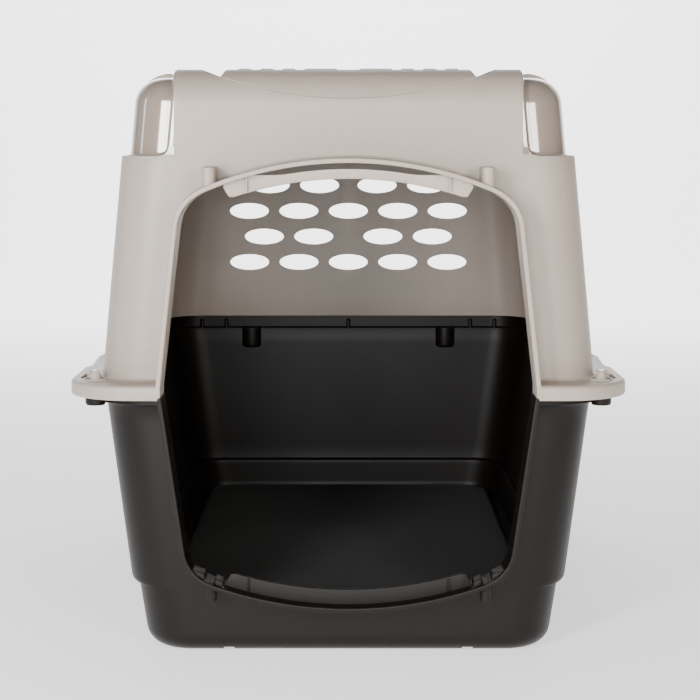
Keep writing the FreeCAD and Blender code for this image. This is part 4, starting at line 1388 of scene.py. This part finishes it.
def build_stage():
    """Pale floor and sky, soft lamps in front and above, and the camera."""
    scene = bpy.context.scene
    reach, back, bend = 6.0, 3.0, 1.2
    turn = np.linspace(0, math.pi / 2, 16)
    y = np.concatenate([[-6.0], back + bend * np.sin(turn), [back + bend]])
    z = np.concatenate([[0.0], bend * (1 - np.cos(turn)), [5.0]])
    x = np.array([-reach, reach])
    rows = np.stack(np.broadcast_arrays(x[None, :], y[:, None], z[:, None]), -1)
    mesh = make_mesh("floor", rows.reshape(-1, 3), ring_faces(len(y), 2, closed=False))
    mesh.shade_smooth()
    floor = bpy.data.objects.new("floor", mesh)
    scene.collection.objects.link(floor)
    material = bpy.data.materials.new("pale_floor")
    material.use_nodes = True
    shader = material.node_tree.nodes["Principled BSDF"]
    shader.inputs["Base Color"].default_value = (0.85, 0.85, 0.85, 1.0)
    shader.inputs["Roughness"].default_value = 0.9
    shader.inputs["Emission Color"].default_value = (1.0, 1.0, 1.0, 1.0)
    shader.inputs["Emission Strength"].default_value = 0.9
    mesh.materials.append(material)
    world = bpy.data.worlds.new("soft_room")
    world.use_nodes = True
    background = world.node_tree.nodes["Background"]
    background.inputs["Color"].default_value = (0.95, 0.97, 1.0, 1.0)
    background.inputs["Strength"].default_value = 0.07
    scene.world = world
    area_light("key_left", (-0.60, -1.40, 0.62), (0, -0.2, 0.32), (0.3, 0.6), 18.0)
    area_light("key_right", (0.62, -1.45, 0.60), (0, -0.2, 0.32), (0.3, 0.5), 9.5, (1.0, 0.96, 0.9))
    area_light("fill_front", (-0.25, -3.2, 0.58), (0, 0, 0.3), (0.9, 0.7), 42.0)
    area_light("side_left", (-2.0, -0.4, 0.6), (0, 0, 0.35), (0.15, 1.2), 5.0, (0.78, 0.88, 1.0))
    area_light("back_glow", (0.0, 2.7, 2.8), (0.0, 4.3, 0.8), (3.5, 0.8), 260.0)
    camera = bpy.data.cameras.new("camera")
    camera.sensor_width = 36.0
    camera.lens = 84.75
    camera.shift_y = -0.1086
    camera.shift_x = 0.0024
    eye = bpy.data.objects.new("camera", camera)
    eye.location = (0.0, FRONT - 1.493, 0.473)
    eye.rotation_euler = (math.radians(90 - 4.3), 0.0, 0.0)
    scene.collection.objects.link(eye)
    scene.camera = eye


# --------------------------------------------------------------- operators

class KENNEL_OT_upper_shell(Operator):
    """Build the upper shell's walls, roof, flange, lip, ribs and bosses"""

    bl_idname = "kennel.upper_shell"
    bl_label = "Upper shell"

    def execute(self, context):
        scene = context.scene
        build_upper_shell(scene.kennel_shell, scene.kennel_doorway, materials(scene))
        return {"FINISHED"}


class KENNEL_OT_lower_shell(Operator):
    """Build the lower shell's tub, flange plate, lip, sill stop and cups"""

    bl_idname = "kennel.lower_shell"
    bl_label = "Lower shell"

    def execute(self, context):
        scene = context.scene
        build_lower_shell(scene.kennel_lower, scene.kennel_shell, scene.kennel_doorway, materials(scene))
        return {"FINISHED"}


class KENNEL_OT_fasteners(Operator):
    """Build the wing nuts and finish the bolts"""

    bl_idname = "kennel.fasteners"
    bl_label = "Bolts and wing nuts"

    def execute(self, context):
        build_fasteners(materials(context.scene))
        return {"FINISHED"}


class KENNEL_OT_floor_mat(Operator):
    """Build the padded floor mat"""

    bl_idname = "kennel.floor_mat"
    bl_label = "Floor mat"

    def execute(self, context):
        build_floor_mat(materials(context.scene))
        return {"FINISHED"}


class KENNEL_OT_stage(Operator):
    """Build the floor, the light and the camera"""

    bl_idname = "kennel.stage"
    bl_label = "Stage"

    def execute(self, context):
        build_stage()
        return {"FINISHED"}


class KENNEL_PT_pieces(Panel):
    """Lists the kennel's pieces in the sidebar"""

    bl_idname = "KENNEL_PT_pieces"
    bl_label = "Kennel"
    bl_space_type = "VIEW_3D"
    bl_region_type = "UI"
    bl_category = "Kennel"

    def draw(self, context):
        for operator in OPERATORS:
            self.layout.operator(operator.bl_idname)
        for group in (context.scene.kennel_shell, context.scene.kennel_lower,
                      context.scene.kennel_doorway, context.scene.kennel_finishes):
            for name in group.bl_rna.properties.keys():
                if name not in ("rna_type", "name"):
                    self.layout.prop(group, name)


GROUPS = (("kennel_shell", KennelShellSizes), ("kennel_lower", KennelLowerSizes),
          ("kennel_doorway", KennelDoorwaySizes), ("kennel_finishes", KennelFinishes))
OPERATORS = (KENNEL_OT_stage, KENNEL_OT_lower_shell, KENNEL_OT_upper_shell,
             KENNEL_OT_fasteners, KENNEL_OT_floor_mat)


def register():
    """Registers the classes and hangs the groups of sizes and colours on the scene."""
    for name, group in GROUPS:
        bpy.utils.register_class(group)
        setattr(bpy.types.Scene, name, PointerProperty(type=group))
    for kind in OPERATORS + (KENNEL_PT_pieces,):
        bpy.utils.register_class(kind)


def unregister():
    """Takes the classes and the groups away again."""
    for kind in (KENNEL_PT_pieces,) + OPERATORS[::-1]:
        bpy.utils.unregister_class(kind)
    for name, group in GROUPS[::-1]:
        delattr(bpy.types.Scene, name)
        bpy.utils.unregister_class(group)


def main():
    """Builds everything."""
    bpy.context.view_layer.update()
    register()
    bpy.ops.kennel.stage()
    bpy.ops.kennel.lower_shell()
    bpy.ops.kennel.upper_shell()
    bpy.ops.kennel.fasteners()
    bpy.ops.kennel.floor_mat()


if __name__ == "__main__":
    main()
